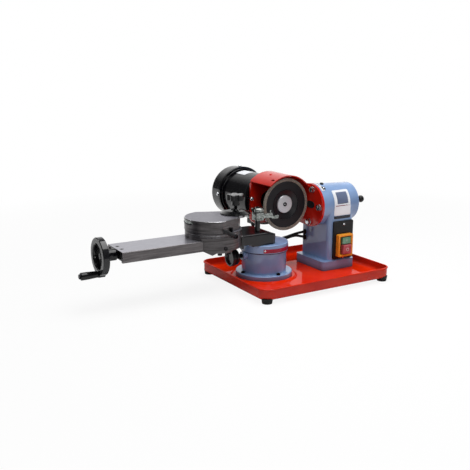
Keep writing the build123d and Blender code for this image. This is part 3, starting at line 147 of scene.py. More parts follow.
def cast_and_ground(name, cast, cast_light, ground, ground_light,
                    cast_rough, ground_rough, grain_mm, metal):
    """Machined iron. Its sides have level tool lines of 3 mm over grain of grain_mm, and wherever it looks
    up it is ground, with streaks of 1.6 mm along X. Handling has rounded the edges over 1 mm, and the
    colour there is painted brighter, partly as wear and partly as painted highlight. Lines and streaks
    are drawn coarser than the real 0.2 mm, so that they show."""
    material, tree, place = surface(name)
    here = place.outputs["Object"]
    look = add(tree, "SeparateXYZ", links={0: place.outputs["Normal"]})
    up = add(tree, "MapRange", {"From Min": 0.93, "From Max": 0.97}, {"Value": look.outputs["Z"]})
    sand = add(tree, "TexNoise", {"Scale": 1 / (grain_mm * MM), "Detail": 4.0, "Roughness": 0.6},
               {"Vector": here})
    level = add(tree, "Mapping", {"Scale": (0.06, 0.06, 1.0)}, {"Vector": here})
    lines = add(tree, "TexNoise", {"Scale": 1 / (3 * MM), "Detail": 5.0}, {"Vector": level})
    along = add(tree, "Mapping", {"Scale": (0.12, 1.0, 1.0)}, {"Vector": here})
    streak = add(tree, "TexNoise", {"Scale": 1 / (1.6 * MM), "Detail": 4.0}, {"Vector": along})
    skin = add(tree, "ValToRGB", links={"Fac": lines}, stops=((0.35, cast), (0.65, cast_light)))
    face = add(tree, "ValToRGB", links={"Fac": streak}, stops=((0.3, ground), (0.7, ground_light)))
    both = add(tree, "MixRGB", links={"Fac": up, "Color1": skin, "Color2": face})
    rounded = add(tree, "Bevel", {"Radius": 1.0 * MM}, samples=4)
    true = add(tree, "NewGeometry").outputs["Normal"]
    align = add(tree, "VectorMath", links={0: rounded, 1: true}, operation="DOT_PRODUCT")
    # Edge wear and painted highlight: near an edge the colour turns to the ground face's light tone
    edge_wear_and_highlight = add(tree, "MapRange", {"From Min": 0.8, "From Max": 0.98, "To Min": 0.7, "To Max": 0.0},
               {"Value": align.outputs["Value"]})
    both = add(tree, "MixRGB", {"Color2": ground_light}, {"Fac": edge_wear_and_highlight, "Color1": both})
    rough = add(tree, "MapRange", {"To Min": cast_rough, "To Max": ground_rough}, {"Value": up})
    shine = add(tree, "MapRange", {"To Min": 0.8, "To Max": metal}, {"Value": up})
    height = add(tree, "MixRGB", links={"Fac": up, "Color1": sand, "Color2": streak})
    bump = add(tree, "Bump", {"Strength": 0.3, "Distance": 0.25 * MM},
               {"Height": height, "Normal": rounded})
    return shaded(material, {}, {"Base Color": both, "Roughness": rough, "Metallic": shine, "Normal": bump})


def bare_metal(name, dark, light, roughness, streak_mm, stretch):
    """Bare metal with tool marks: streaks streak_mm apart, drawn out along the axes where stretch is
    small. They are drawn coarser than the real 0.1 mm, so that they show."""
    material, tree, place = surface(name)
    along = add(tree, "Mapping", {"Scale": stretch}, {"Vector": place.outputs["Object"]})
    streak = add(tree, "TexNoise", {"Scale": 1 / (streak_mm * MM), "Detail": 4.0}, {"Vector": along})
    tone = add(tree, "ValToRGB", links={"Fac": streak}, stops=((0.3, dark), (0.7, light)))
    rough = add(tree, "MapRange",
                {"From Min": 0.3, "From Max": 0.7, "To Min": roughness * 0.75, "To Max": roughness * 1.25},
                {"Value": streak})
    bump = add(tree, "Bump", {"Strength": 0.2, "Distance": 0.1 * MM}, {"Height": streak})
    return shaded(material, {"Metallic": 1.0}, {"Base Color": tone, "Roughness": rough, "Normal": bump})


def moulded(name, colour, pale, roughness, grain_mm, depth_mm, even=()):
    """Moulded plastic or rubber: spark-eroded grain of grain_mm, and paler patches of 22 mm where handling
    rubs it. The grain is drawn coarser than the real 0.1 mm, so that it shows."""
    material, tree, place = surface(name)
    here = place.outputs["Object"]
    rub = add(tree, "TexNoise", {"Scale": 1 / (22 * MM), "Detail": 4.0}, {"Vector": here})
    tone = add(tree, "ValToRGB", links={"Fac": rub}, stops=((0.35, colour), (0.8, pale)))
    grain = add(tree, "TexNoise", {"Scale": 1 / (grain_mm * MM), "Detail": 2.0}, {"Vector": here})
    rough = add(tree, "MapRange",
                {"From Min": 0.3, "From Max": 0.8, "To Min": roughness * 0.85, "To Max": roughness * 1.2},
                {"Value": rub})
    bump = add(tree, "Bump", {"Strength": 0.3, "Distance": depth_mm * MM}, {"Height": grain})
    return shaded(material, {"Specular IOR Level": 0.25, **dict(even)},
                  {"Base Color": tone, "Roughness": rough, "Normal": bump})


def turned(name, dark, light, roughness, ring_mm, metallic, gloss_r_mm=0.0, gloss=0.0):
    """A face turned about the motor's axis: rings ring_mm apart, drawn coarser than the real 0.2 mm so
    that they show, and inside gloss_r_mm a smoother, shinier dish."""
    material, tree, place = surface(name)
    centre = add(tree, "VectorMath", {1: (MOTOR_X * MM, 0, MOTOR_Z * MM)}, {0: place.outputs["Object"]},
                 operation="SUBTRACT")
    flat = add(tree, "VectorMath", {1: (1, 0, 1)}, {0: centre}, operation="MULTIPLY")
    radius = add(tree, "VectorMath", links={0: flat}, operation="LENGTH").outputs["Value"]
    rings = add(tree, "TexNoise", {"Scale": 1 / (ring_mm * MM), "Detail": 3.0}, {"W": radius},
                noise_dimensions="1D")
    tone = add(tree, "ValToRGB", links={"Fac": rings}, stops=((0.3, dark), (0.7, light)))
    bump = add(tree, "Bump", {"Strength": 0.25, "Distance": 0.15 * MM}, {"Height": rings})
    dish = add(tree, "MapRange", {"From Min": gloss_r_mm * MM, "From Max": (gloss_r_mm + 1) * MM,
                                  "To Min": gloss, "To Max": roughness}, {"Value": radius})
    return shaded(material, {"Metallic": metallic, "Specular IOR Level": 0.3},
                  {"Base Color": tone, "Roughness": dish, "Normal": bump})


def grit(name, resin, grain, bright, grain_mm):
    """Bonded abrasive: grains of grain_mm in resin, some of them glinting. They are drawn coarser than
    the real 0.15 mm, so that they show."""
    material, tree, place = surface(name)
    cells = add(tree, "TexVoronoi", {"Scale": 1 / (grain_mm * MM)}, {"Vector": place.outputs["Object"]})
    grey = add(tree, "RGBToBW", links={0: cells.outputs["Color"]})
    tone = add(tree, "ValToRGB", links={"Fac": grey}, stops=((0.2, resin), (0.6, grain), (0.85, bright)))
    bump = add(tree, "Bump", {"Strength": 0.6, "Distance": 0.3 * MM},
               {"Height": cells.outputs["Distance"]})
    return shaded(material, {"Roughness": 0.85}, {"Base Color": tone, "Normal": bump})


# Finishes: what each one is, and what that gives the eye

# Gloss enamel on pressed sheet: a warm, even red that mirrors softly, with painted shade down its walls
red = enamel("red gloss enamel", "#d02206", "#e23008", roughness=0.35, coat=0.45,
             peel_mm=2.2, peel_depth=0.03, film_gloss=0.0, shade=0.35)
# A second coat on the bracket and hood: a deeper red with a wet shine along its bends
deep_red = enamel("red enamel, second coat", "#b01204", "#c41c08", roughness=0.35, coat=0.8,
                  peel_mm=2.2, peel_depth=0.04, film_gloss=0.05)
# Machine enamel on castings: chalky blue-grey under full gloss, painted shade on walls, deepest at the tray
blue_grey = enamel("blue-grey machine enamel", "#7894be", "#89a6d1", roughness=0.38, coat=1.0,
                   peel_mm=1.6, peel_depth=0.05, film_gloss=0.1, shade=0.15, painted_low_shade=0.62)
# Gloss enamel on the motor: nearly pure black, whose form shows only in its reflections
motor_black = enamel("black gloss enamel", "#040406", "#0a0a0e", roughness=0.3, coat=0.68,
                     peel_mm=2.0, peel_depth=0.04, film_gloss=0.03)
# Stove enamel on the rail's arm: black with a soft satin sheen
satin_black = enamel("black stove enamel", "#0c0c0f", "#17171b", roughness=0.36, coat=0.6,
                     peel_mm=1.2, peel_depth=0.06, film_gloss=0.1)
# Gloss paint on cast hand wheels: black with a lively, slightly uneven shine
hand_wheel_black = enamel("black gloss paint", "#0a0a0e", "#15151a", roughness=0.4, coat=0.8,
                          peel_mm=1.2, peel_depth=0.06, film_gloss=0.1)
# Cast iron, turned round its sides and ground on top: warm dark lines below a cool pale face
casting = cast_and_ground("machined cast iron", "#423f40", "#625f60", "#696871", "#85838c",
                          cast_rough=0.30, ground_rough=0.38, grain_mm=0.9, metal=0.6)
# Steel channel ground along its length: paler than the iron, with streaks that run with the rail
rail_steel = cast_and_ground("ground rail steel", "#504d4e", "#6b6768", "#9897a0", "#aeadb5",
                             cast_rough=0.30, ground_rough=0.34, grain_mm=0.5, metal=0.7)
# Zinc plate on bolts and shafts: nearly white, with hard lights and darks
bright_steel = bare_metal("zinc-plated steel", "#c2c4c8", "#eceef0", roughness=0.18,
                          streak_mm=0.8, stretch=(1, 1, 1))
# Ground steel: a middle grey whose lights are drawn out along X
ground_steel = bare_metal("ground steel", "#8a8b90", "#b2b3b8", roughness=0.34,
                          streak_mm=1.0, stretch=(0.15, 1, 1))
# Milled steel on the tooth stop: cutter marks in dark and light bands, the light ones a painted highlight
stop_steel = bare_metal("milled steel", "#3e4240", "#b0b5b2", roughness=0.16,
                        streak_mm=2.6, stretch=(0.5, 1, 1))
# Oiled black oxide on screws: nearly black, with a dull metal sheen
black_oxide = bare_metal("blackened steel", "#161618", "#2c2c30", roughness=0.36,
                         streak_mm=0.7, stretch=(1, 1, 1))
# Turned bronze: brown gold with fine marks round the bore
bronze = bare_metal("turned bronze", "#8c6a34", "#b58f52", roughness=0.32,
                    streak_mm=0.8, stretch=(0.2, 1, 1))
# Phenolic polished by its mould: deep black with clear small lights
black_plastic = moulded("black phenolic plastic", "#08080a", "#111114", roughness=0.26, grain_mm=0.5,
                        depth_mm=0.03, even={"Coat Weight": 0.5, "Specular IOR Level": 0.1})
# Grained ABS: charcoal that spreads the light without reflections
plate_plastic = moulded("black grained ABS", "#141416", "#222225", roughness=0.45,
                        grain_mm=0.6, depth_mm=0.08)
# Orange ABS: a full, slightly mottled orange with broad soft lights
orange_plastic = moulded("orange ABS", "#e58a20", "#f4a638", roughness=0.36,
                         grain_mm=0.6, depth_mm=0.05)
# Milky plastic: light goes a little way in, which softens the shadows on the buttons
milky = {"Subsurface Weight": 0.15, "Subsurface Scale": 0.002}
green_plastic = moulded("milky green plastic", "#5a9070", "#80ae94", roughness=0.30,
                        grain_mm=0.6, depth_mm=0.03, even=milky)
red_plastic = moulded("milky red plastic", "#ab424c", "#c66c74", roughness=0.30,
                      grain_mm=0.6, depth_mm=0.03, even=milky)
# Rubber: a flat, slightly grey black with no clear lights
rubber = moulded("black rubber", "#121212", "#1d1d1d", roughness=0.62, grain_mm=0.8, depth_mm=0.1)
# Moulded resin body of the wheel: dull black outside, smoother inside its dish
wheel_body = turned("moulded wheel resin", "#121215", "#1e1e22", roughness=0.5, ring_mm=1.2,
                    metallic=0.0, gloss_r_mm=36.0, gloss=0.34)
# Turned aluminium: pale, with rings that fan the light out
hub_face = turned("turned aluminium", "#b4b3b8", "#dcdbe0", roughness=0.32, ring_mm=0.6, metallic=0.8)
# Abrasive: matt brown grey, speckled with brighter grains
abrasive = grit("bonded abrasive", "#5e564e", "#80776d", "#a39a90", grain_mm=0.9)
# Enamel on the hook scale: a smooth wine red
scale_red = enamel("red scale enamel", "#8e1430", "#a8223e", roughness=0.30, coat=0.3,
                   peel_mm=1.0, peel_depth=0.03, film_gloss=0.05)
# Enamel on the bevel scale: a smooth, slightly grey white
scale_white = enamel("white scale enamel", "#d9dadc", "#ececee", roughness=0.35, coat=0.4,
                     peel_mm=1.0, peel_depth=0.03)
# Ink: a thin blue black that stays dull beside the enamel; it also paints the scallop's shadow
ink_and_painted_shade = moulded("printing ink", "#101014", "#1c1c22", roughness=0.5, grain_mm=0.4, depth_mm=0.01)
# Lacquered plates and prints: flat, smooth colours under one thin clear gloss
plate_lacquer = {"coat": 0.4, "peel_mm": 1.2, "peel_depth": 0.02}
plate_white = enamel("white lacquered aluminium", "#dfe1e7", "#eff0f4", roughness=0.34, **plate_lacquer)
plate_dark = enamel("dark lacquered aluminium", "#22232a", "#30313a", roughness=0.36, **plate_lacquer)
mark_print = enamel("pale screen print", "#c6ccc8", "#d6dad6", roughness=0.34, **plate_lacquer)
plate_tint = enamel("slate screen print", "#59647f", "#6b7793", roughness=0.34, **plate_lacquer)
# Print on the hook scale: a dark wine red, only a little darker than its ground
scale_dark = enamel("dark red screen print", "#4e0c1a", "#5e1424", roughness=0.34, coat=0.4,
                    peel_mm=1.0, peel_depth=0.02)

finish = {
    red: "tray",
    deep_red: "wheel_guard head_bracket",
    blue_grey: "pot_base swivel_cap column",
    motor_black: "end_bearing motor_shield motor_body rear_shield fan_cowl terminal_box",
    satin_black: "rail_arm stop_post",
    hand_wheel_black: "hand_wheel lock_wheel",
    casting: "saddle blade_table keeper_plate",
    rail_steel: "rail",
    ground_steel: "blade_seat trunnion",
    bright_steel: "pivot_bolt lead_screw clamp_stud flange_bolts column_bolts head_screws "
                  "motor_bearings rotor_shaft arbor_hub",
    stop_steel: "stop_block stop_finger thumb_nut",
    black_oxide: "feed_sleeve crank_pin lock_screw pot_screws rail_screws carriage_screws",
    bronze: "lead_nut",
    black_plastic: "crank_grip clamp_saucer clamp_knob pull_knob cooling_fan",
    plate_plastic: "switch_plate switch_module",
    orange_plastic: "switch_frame",
    green_plastic: "start_button",
    red_plastic: "stop_button",
    rubber: "rubber_feet cable_grommets motor_lead_a motor_lead_b",
    wheel_body: "grinding_wheel",
    hub_face: "hub_disc",
    abrasive: "abrasive_rim",
    scale_red: "hook_scale",
    scale_white: "bevel_scale",
}
for material, names in finish.items():
    for name in names.split():
        nodes[name].data.materials.clear()
        nodes[name].data.materials.append(material)


# Every turned shape has 48 points to a turn. HEX is the reach of a hexagon at each, with flats at 1
TURN = np.linspace(0, 2 * np.pi, 48, endpoint=False)
HEX = 1 / np.cos(np.mod(TURN + np.pi / 6, np.pi / 3) - np.pi / 6)


def heading(degrees):
    """Cosine and sine of an angle in degrees."""
    return np.cos(np.radians(degrees)), np.sin(np.radians(degrees))


def rings_piece(name, grids, material, body, loop=False, stands_for=()):
    """One mesh from grids of rings: quads between neighbouring points, joined round each ring.
    The first and the last ring close on their middle, or on each other where they make a loop."""
    places, faces = [], []
    for points in grids:
        rows, columns = points.shape[:2]
        first = sum(len(p) for p in places)
        u, v = np.meshgrid(np.arange(rows - (not loop)), np.arange(columns), indexing="ij")
        u2, v2 = (u + 1) % rows, (v + 1) % columns
        quads = np.stack([u * columns + v, u * columns + v2, u2 * columns + v2, u2 * columns + v], -1)
        faces += (quads.reshape(-1, 4) + first).tolist()
        places.append(points.reshape(-1, 3))
        if not loop:
            ring = np.arange(columns)
            after = (ring + 1) % columns
            top = (rows - 1) * columns
            low = np.full(columns, rows * columns)
            faces += (np.stack([low, after, ring], -1) + first).tolist()
            faces += (np.stack([low + 1, top + ring, top + after], -1) + first).tolist()
            places.append(np.array([points[0].mean(0), points[-1].mean(0)]))
    mesh = bpy.data.meshes.new(name)
    mesh.from_pydata((np.concatenate(places) * MM).tolist(), [], faces)
    mesh.shade_smooth()
    mesh.set_sharp_from_angle(angle=np.radians(32))
    mesh.materials.append(material)
    piece = bpy.data.objects.new(name, mesh)
    bpy.context.scene.collection.objects.link(piece)
    if body:
        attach(piece, body)
    if stands_for:
        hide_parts(*stands_for)
    return piece


def lathe(rows, centre, axis):
    """Rings round an axis through centre: each row is a distance along the axis and a radius, which
    may vary with the turn."""
    axis = np.array(axis, float) / np.linalg.norm(axis)
    side = np.cross(axis, (0.31, 0.87, 0.38))
    side /= np.linalg.norm(side)
    other = np.cross(axis, side)
    along = np.array([row[0] * np.ones(len(TURN)) for row in rows])
    radius = np.array([row[1] * np.ones(len(TURN)) for row in rows])
    round_ = np.cos(TURN)[:, None] * side + np.sin(TURN)[:, None] * other
    return np.array(centre, float) + along[..., None] * axis + radius[..., None] * round_


def tube(path, radius, sides=20):
    """A circle carried along a path: at each point it stands square to the path's direction."""
    along = np.gradient(path, axis=0)
    along /= np.linalg.norm(along, axis=1, keepdims=True)
    side = np.cross(along, (0.0, 0.7, 0.7))
    side /= np.linalg.norm(side, axis=1, keepdims=True)
    other = np.cross(along, side)
    turn = np.linspace(0, 2 * np.pi, sides, endpoint=False)[None, :, None]
    return path[:, None] + radius * (np.cos(turn) * side[:, None] + np.sin(turn) * other[:, None])


def arc(centre, radius, start, end, points=9):
    """Points of an arc about centre, from one angle to the other in degrees."""
    return np.array(centre) + radius * np.stack(heading(np.linspace(start, end, points)), -1)


def sheet(place, middle, size, corner, thick, points=64):
    """A thin plate laid on a surface: rings of a rounded rectangle, from its foot over its edge to its
    middle. place turns (u, v, height) into a point, with u, v and height right-handed."""
    half = np.array(size) / 2 - corner
    loop = np.concatenate([arc(half * (sx, sy), corner, start, start + 90, 6)
                           for sx, sy, start in ((1, 1, 0), (-1, 1, 90), (-1, -1, 180), (1, -1, 270))])
    loop = np.concatenate([loop, loop[:1]])
    run = np.r_[0, np.cumsum(np.linalg.norm(np.diff(loop, axis=0), axis=1))]
    at = np.linspace(0, run[-1], points, endpoint=False)
    shrink = np.array((1, 1, 0.985, 0.75, 0.5, 0.25))[:, None]
    height = thick * np.array((0, 0.7, 1, 1, 1, 1))[:, None]
    u = middle[0] + shrink * np.interp(at, run, loop[:, 0])
    v = middle[1] + shrink * np.interp(at, run, loop[:, 1])
    return np.stack(place(u, v, height + 0 * u), -1)


def pressed(profile, middle, half, corner, points=9):
    """Rings of a pressed pan: each profile point is an inset from the rim and a height, and its ring is
    the rim's rounded rectangle drawn in by that inset."""
    inset, height = profile.T[:, :, None]
    radius = np.maximum(corner - inset, 1.0)
    turn = (np.linspace(0, np.pi / 2, points) + np.arange(4)[:, None] * np.pi / 2).ravel()
    side_x = np.repeat((1, -1, -1, 1), points)
    side_y = np.repeat((1, 1, -1, -1), points)
    x = middle[0] + side_x * (half[0] - inset - radius) + radius * np.cos(turn)
    y = middle[1] + side_y * (half[1] - inset - radius) + radius * np.sin(turn)
    return np.stack([x, y, height + 0 * x], -1)


def threaded(start, end, crest, pitch, depth):
    """Rows of a screw thread for lathe: at each turn the radius dips from crest by depth once in every
    pitch, as a wave with flat tops, and fades out over the last pitch at both ends."""
    along = np.arange(start, end + 0.01, pitch / 6)[:, None]
    wave = np.abs(np.mod((along - start) / pitch - TURN / (2 * np.pi), 1) * 2 - 1)
    fade = np.clip(np.minimum(along - start, end - along) / pitch, 0, 1)
    return list(zip(along, crest - depth * fade * np.clip(1.6 * wave - 0.3, 0, 1)))


def socket(top, head, height, recess, depth):
    """Rows for lathe of a socket-head screw: a knurled cylinder with a rounded edge and a hexagonal
    well."""
    knurl = head * (1 - 0.02 * (np.arange(len(TURN)) % 2))
    well = recess * HEX
    return [(top - height, head * 0.97), (top - 0.95 * height, knurl), (top - 0.18 * height, knurl),
            (top - 0.05 * height, head * 0.95), (top, head * 0.86), (top, well * 1.06),
            (top - 0.08 * height, well), (top - depth, well), (top - depth - 0.3 * recess, recess * 0.4)]


def pan(top, head, height):
    """Rows for lathe of a domed cross-head screw: the well's edge is as far as the cross reaches at each
    turn."""
    fold = np.abs(np.mod(TURN + np.pi / 4, np.pi / 2) - np.pi / 4)
    long, wide = 0.55 * head, 0.14 * head
    across = wide / np.maximum(np.sin(fold), 0.1)
    cross = np.where(np.tan(fold) <= wide / long, long / np.cos(fold), across)
    return [(top - height, head * 0.96), (top - 0.75 * height, head), (top - 0.35 * height, head * 0.93),
            (top - 0.1 * height, head * 0.76), (top, cross * 1.1), (top - 0.1 * height, cross),
            (top - 0.7 * height, cross * 0.7)]


def hex_head(foot, flat, height):
    """Rows for lathe of a hexagon head: six flats, the corners turned off by a cone of 30 degrees, a low
    dome."""
    edge = flat * HEX
    top = foot + height
    crown = height - np.maximum(edge - 0.97 * flat, 0) * 0.58
    return [(foot, edge * 0.98), (foot + 0.2, edge), (foot + crown, edge), (top, 0.95 * flat),
            (top + 0.25, 0.75 * flat), (top + 0.5, 0.45 * flat), (top + 0.6, 0.2 * flat)]


# Where thin plates lie: each turns u, v and a height above the surface into a point
def on_front(u, v, h):
    """The column's front: its flat, or the head's round where that stands further out."""
    radius = HEAD_R - HEAD_SLOPE * (u - HEAD_LEFT)
    round_ = np.sqrt(np.maximum(radius ** 2 - (v - HEAD_Z) ** 2, 0))
    return u, -np.where(v < HEAD_Z, np.maximum(COLUMN_HALF, round_), round_) - h, v


def on_plate(u, v, h):
    """The face of the plate on the column's front."""
    return on_front(u, v, h + PLATE_THICK)


def on_head(u, v, h):
    """The bevel scale on the head's cone: u degrees from +Y over +Z, v along X."""
    radius = HEAD_R + SCALE_THICK - HEAD_SLOPE * (v - HEAD_LEFT) + h
    c, s = heading(u)
    return v, radius * c, HEAD_Z + radius * s


def on_flange(u, v, h):
    """The bracket's flange, which faces -X: u from its middle towards -Y, v up from it."""
    return FLANGE_X - h, -u, HEAD_Z + v


def on_cap(u, v, h):
    """The hook scale on the cap's side: u degrees from +X, v up."""
    radius = CAP_R + SCALE_THICK + h
    c, s = heading(u)
    return POT_X + radius * c, radius * s, v


def on_table(u, v, h):
    """The blade table's side: u degrees from +X, v up."""
    c, s = heading(u)
    return CARRIAGE_X + (TABLE_R + h) * c, (TABLE_R + h) * s, v


def on_scallop(u, v, h):
    """A face on the table's side that leans out by 0.06 mm for each mm down from z = 155."""
    return on_table(u, v, h + 0.06 * (155 - v))


def on_motor(u, v, h):
    """The motor's top: u is an arc in mm from 101 degrees over +X, running towards +X, v along Y."""
    turn = np.radians(101) - u / MOTOR_R
    return MOTOR_X + (MOTOR_R + h) * np.cos(turn), v, MOTOR_Z + (MOTOR_R + h) * np.sin(turn)


def around_motor(radius, y, c, s):
    """A point round the motor's axis, at a radius, a place along Y and an angle's cosine and sine."""
    return MOTOR_X + radius * c, y, MOTOR_Z + radius * s


def on_start(u, v, h):
    """The start button's face."""
    return u, START_Y - h, v


def ticks(place, angles, foot, width, ten, two):
    """Strokes across a scale from foot, one at each angle: ten long at every tenth degree, else two."""
    return [sheet(place, (a, foot + long / 2), (width, abs(long)), 0, 0.06, 8)
            for a in angles for long in [two if a % 10 else ten]]


# Scales: a tick every two degrees, longer at each ten, and rivets at the ends of the hook scale
rings_piece("bevel_ticks", ticks(on_head, range(78, 131, 2), foot=72.5, width=0.7, ten=-7.5, two=-4.0),
            ink_and_painted_shade, "base")
rings_piece("hook_ticks", ticks(on_cap, range(-112, -20, 2), foot=69.0, width=0.5, ten=4.6, two=3.0),
            scale_dark, "swivel")
rivets = [lathe([(0, 2.6), (0.7, 2.5), (1.2, 1.7), (1.45, 0.8)], on_cap(a, 72.5, 0), (*heading(a), 0))
          for a in (-120.5, -15.5)]
rings_piece("hook_scale_rivets", rivets, bright_steel, "swivel")

# Thin plates: a pointer on the bevel scale, a dark plate on the flange by the pivot, a white plate
# with a tinted field and a line, a dark strip below it, the motor's plate, and a milled scallop at the
# table's far left
for name, place, middle, size, corner, thick, material, body, slot in (
        ("bevel_pointer", on_head, (122.5, 73.2), (10.5, 8.6), 0.8, 0.6, plate_dark, "base",
         "black_paint"),
        ("flange_dark_plate", on_flange, (5.5, 1.8), (28, 17), 8.4, 1.6, plate_plastic, "head",
         "black_plastic"),
        ("front_plate", on_front, (116, 164), (50, 60), 1.5, PLATE_THICK, plate_white, "base",
         "white_scale"),
        ("front_plate_field", on_plate, (117, 176), (34, 27), 0.8, 0.06, plate_tint, "base",
         "blue_grey_enamel"),
        ("front_plate_line", on_plate, (116, 158), (44, 1.6), 0.3, 0.06, scale_red, "base",
         "red_scale"),
        ("front_strip", on_front, (116, 129.5), (50, 7), 1.0, PLATE_THICK, plate_dark, "base",
         "black_paint"),
        ("motor_plate", on_motor, (0, 176), (27, 41), 1.0, PLATE_THICK, plate_white, "head",
         "white_scale"),
        ("table_scallop", on_scallop, (180, 151.8), (40, 6.0), 2.9, 0.2, stop_steel, "carriage",
         "ground_steel")):
    rings_piece(name, [sheet(place, middle, size, corner, thick)], material, body)

# Head: the pointer's rivet, a plug on top
rivet = lathe([(0, 1.9), (0.6, 1.8), (1.0, 1.2), (1.2, 0.5)], on_head(122.5, 73.4, 0.5),
              (0, *heading(122.5)))
rings_piece("bevel_pointer_rivet", [rivet], bright_steel, "base")
plug = lathe([(-2, 4.6), (1.6, 4.6), (2.4, 4.1), (2.6, 2.0)], on_head(101, 81, 0), (0, -0.19, 0.98))
rings_piece("head_top_plug", [plug], plate_plastic, "base")

# Switch: plate screws, the stroke and the ring on the buttons
screws = [lathe(pan(1.6, 2.9, 1.6), (SWITCH_X, SWITCH_Y, z), FRONT) for z in (113, 30.5)]
rings_piece("switch_plate_screws", screws, bright_steel, "base")
stroke = sheet(on_start, (BUTTON_X, 73.5), (1.3, 6.5), 0.3, 0.12, 24)
rings_piece("start_mark", [stroke], mark_print, "start_button")
ring = [(0, 4.2), (0.12, 4.1), (0.12, 3.1), (0, 3.0), (-0.2, 3.1), (-0.2, 4.1)]
rings_piece("stop_mark", [lathe(ring, (BUTTON_X, STOP_Y, 51.75), FRONT)], mark_print, "stop_button",
            loop=True)

# Fasteners with their wells, flats and threads, each in the place of its plain solid
rows = [(0, 2.6), (0.4, 3.0), (13.5, 3.0)] + socket(top=19, head=4.6, height=4, recess=2.0, depth=2.4)
screws = [lathe(rows, (POT_X + POT_SCREWS_R * c, POT_SCREWS_R * s, 0), UP)
          for c, s in map(heading, (2, 92, 182, 272))]
rings_piece("pot_socket_screws", screws, black_oxide, "base", stands_for=["pot_screws"])

rows = [(-15.2, 2.1), (-14.8, 2.5), (-1.9, 2.5), (-0.1, 4.35), (0, 4.3), (0, 1.75 * HEX), (-2.4, 1.6 * HEX),
        (-2.9, 0.5)]
screws = [lathe(rows, (-436, y, RAIL_TOP), UP) for y in (-13, 13)]
rings_piece("rail_countersunk_screws", screws, black_oxide, "swivel",
            stands_for=["rail_screws"])

rows = [(-18, 3.4), (-17.4, 4.0), (0, 4.0), (0, 8.0), (1.45, 8.0), (1.6, 7.7)]
rows += hex_head(foot=1.6, flat=6.4, height=6.0)
bolts = [lathe(rows, on_flange(FLANGE_BOLTS_R * c, FLANGE_BOLTS_R * s, 0), LEFT)
         for c, s in map(heading, (0, 73, 184, 272))]
rings_piece("flange_hex_bolts", bolts, bright_steel, "head", stands_for=["flange_bolts"])

cowl = [(-6, 2.2), (-5.6, 2.5), (0, 2.5)] + pan(top=2.5, head=4.5, height=2.5)
shield = [(-15.6, 2.2), (-15.2, 2.5), (0, 2.5)] + pan(top=3.5, head=5.0, height=3.5)
screws = [lathe(cowl, around_motor(COWL_SCREWS_R, COWL_SCREWS_Y, c, s), (c, 0, s))
          for c, s in map(heading, (0, 90, 180, 270))]
screws += [lathe(shield, around_motor(SHIELD_SCREWS_R, SHIELD_Y, c, s), FRONT)
           for c, s in map(heading, (172, 262, 352, 82))]
rings_piece("motor_cross_screws", screws, bright_steel, "head", stands_for=["head_screws"])

rows = [(-479.3, 4.0), (-478.5, 5.0), (-471.3, 5.0), (-471.3, 6.0), (-427.7, 6.0), (-427.7, 4.9)]
rows += threaded(-427.7, -190.3, crest=5.0, pitch=5.0, depth=0.9)
rows += [(-190.3, 4.0), (-176.5, 4.0), (-176.0, 3.5)]
rings_piece("lead_screw_threaded", [lathe(rows, (0, 0, LEAD_SCREW_Z), RIGHT)], bright_steel, "hand_wheel",
            stands_for=["lead_screw"])

rows = [(-166.7, 5.0), (-160.7, 5.0)] + threaded(-160.7, -100, crest=5.0, pitch=1.5, depth=0.7)
rows += [(-99, 4.4), (-95.3, 4.2)]
rings_piece("lock_screw_threaded", [lathe(rows, (0, 0, LOCK_SCREW_Z), RIGHT)], black_oxide, "lock",
            stands_for=["lock_screw"])

rows = [(140.5, 3.4), (141.3, 4.0)] + threaded(141.3, 186.2, crest=4.0, pitch=1.25, depth=0.6)
rows += [(187, 3.4)]
rings_piece("clamp_stud_threaded", [lathe(rows, (CLAMP_X, 0, 0), UP)], black_oxide, "carriage",
            stands_for=["clamp_stud"])

# Thumb nut: straight knurl between two turned edges
knurl = 14.5 - 0.7 * (np.arange(len(TURN)) % 2)
rows = [(161, 4.06), (161, 12.8), (161.9, 13.6), (162.3, knurl), (168.7, knurl), (169.1, 13.6), (170, 12.8),
        (170, 8.0), (169.4, 7.4), (169.4, 4.06)]
rings_piece("thumb_nut_knurled", [lathe(rows, (NUT_X, NUT_Y, 0), UP)], stop_steel, "thumb_nut",
            loop=True, stands_for=["thumb_nut"])

# Hand wheel: a cap over the screw's end
cap = lathe([(0, 7.6), (2.6, 7.4), (3.8, 6.4), (4.4, 3.4)], (-475.9, 0, LEAD_SCREW_Z), LEFT)
rings_piece("hand_wheel_cap", [cap], black_plastic, "hand_wheel")

# Carriage: clamp bar with its socket screw on the near side, grub screw below it
for name, x, z, head, proud, material in (("saddle_screw", -197.6, 123, 5.4, 10.5, black_oxide),
                                          ("saddle_grub", -217.5, 97, 4.2, 2.4, ink_and_painted_shade)):
    side = (x - CARRIAGE_X) / SADDLE_R
    out = np.array((side, -np.sqrt(1 - side ** 2), 0))
    rows = [(-3, head * 0.9)] + socket(proud, head, min(proud, 5), head * 0.6, min(proud, 4) * 0.7)
    screw = lathe(rows, np.array((CARRIAGE_X, 0, z)) + SADDLE_R * out, out)
    rings_piece(name, [screw], material, "carriage")
along = np.linspace(0, 1, 24)[:, None]
bar = np.array((-195.5, -67.3, 122.5)) + along * np.array((-30.5, -1.0, 17.5))
bulge = 1.5 * np.sin(np.pi * along) * np.array(FRONT)
width = 5.2 - 1.8 * along
width[[0, 1, -2, -1]] *= np.array((0.45, 0.85, 0.85, 0.45))[:, None]
rings_piece("saddle_clamp_bar", [tube(bar + bulge, width[..., None])], plate_plastic, "carriage")
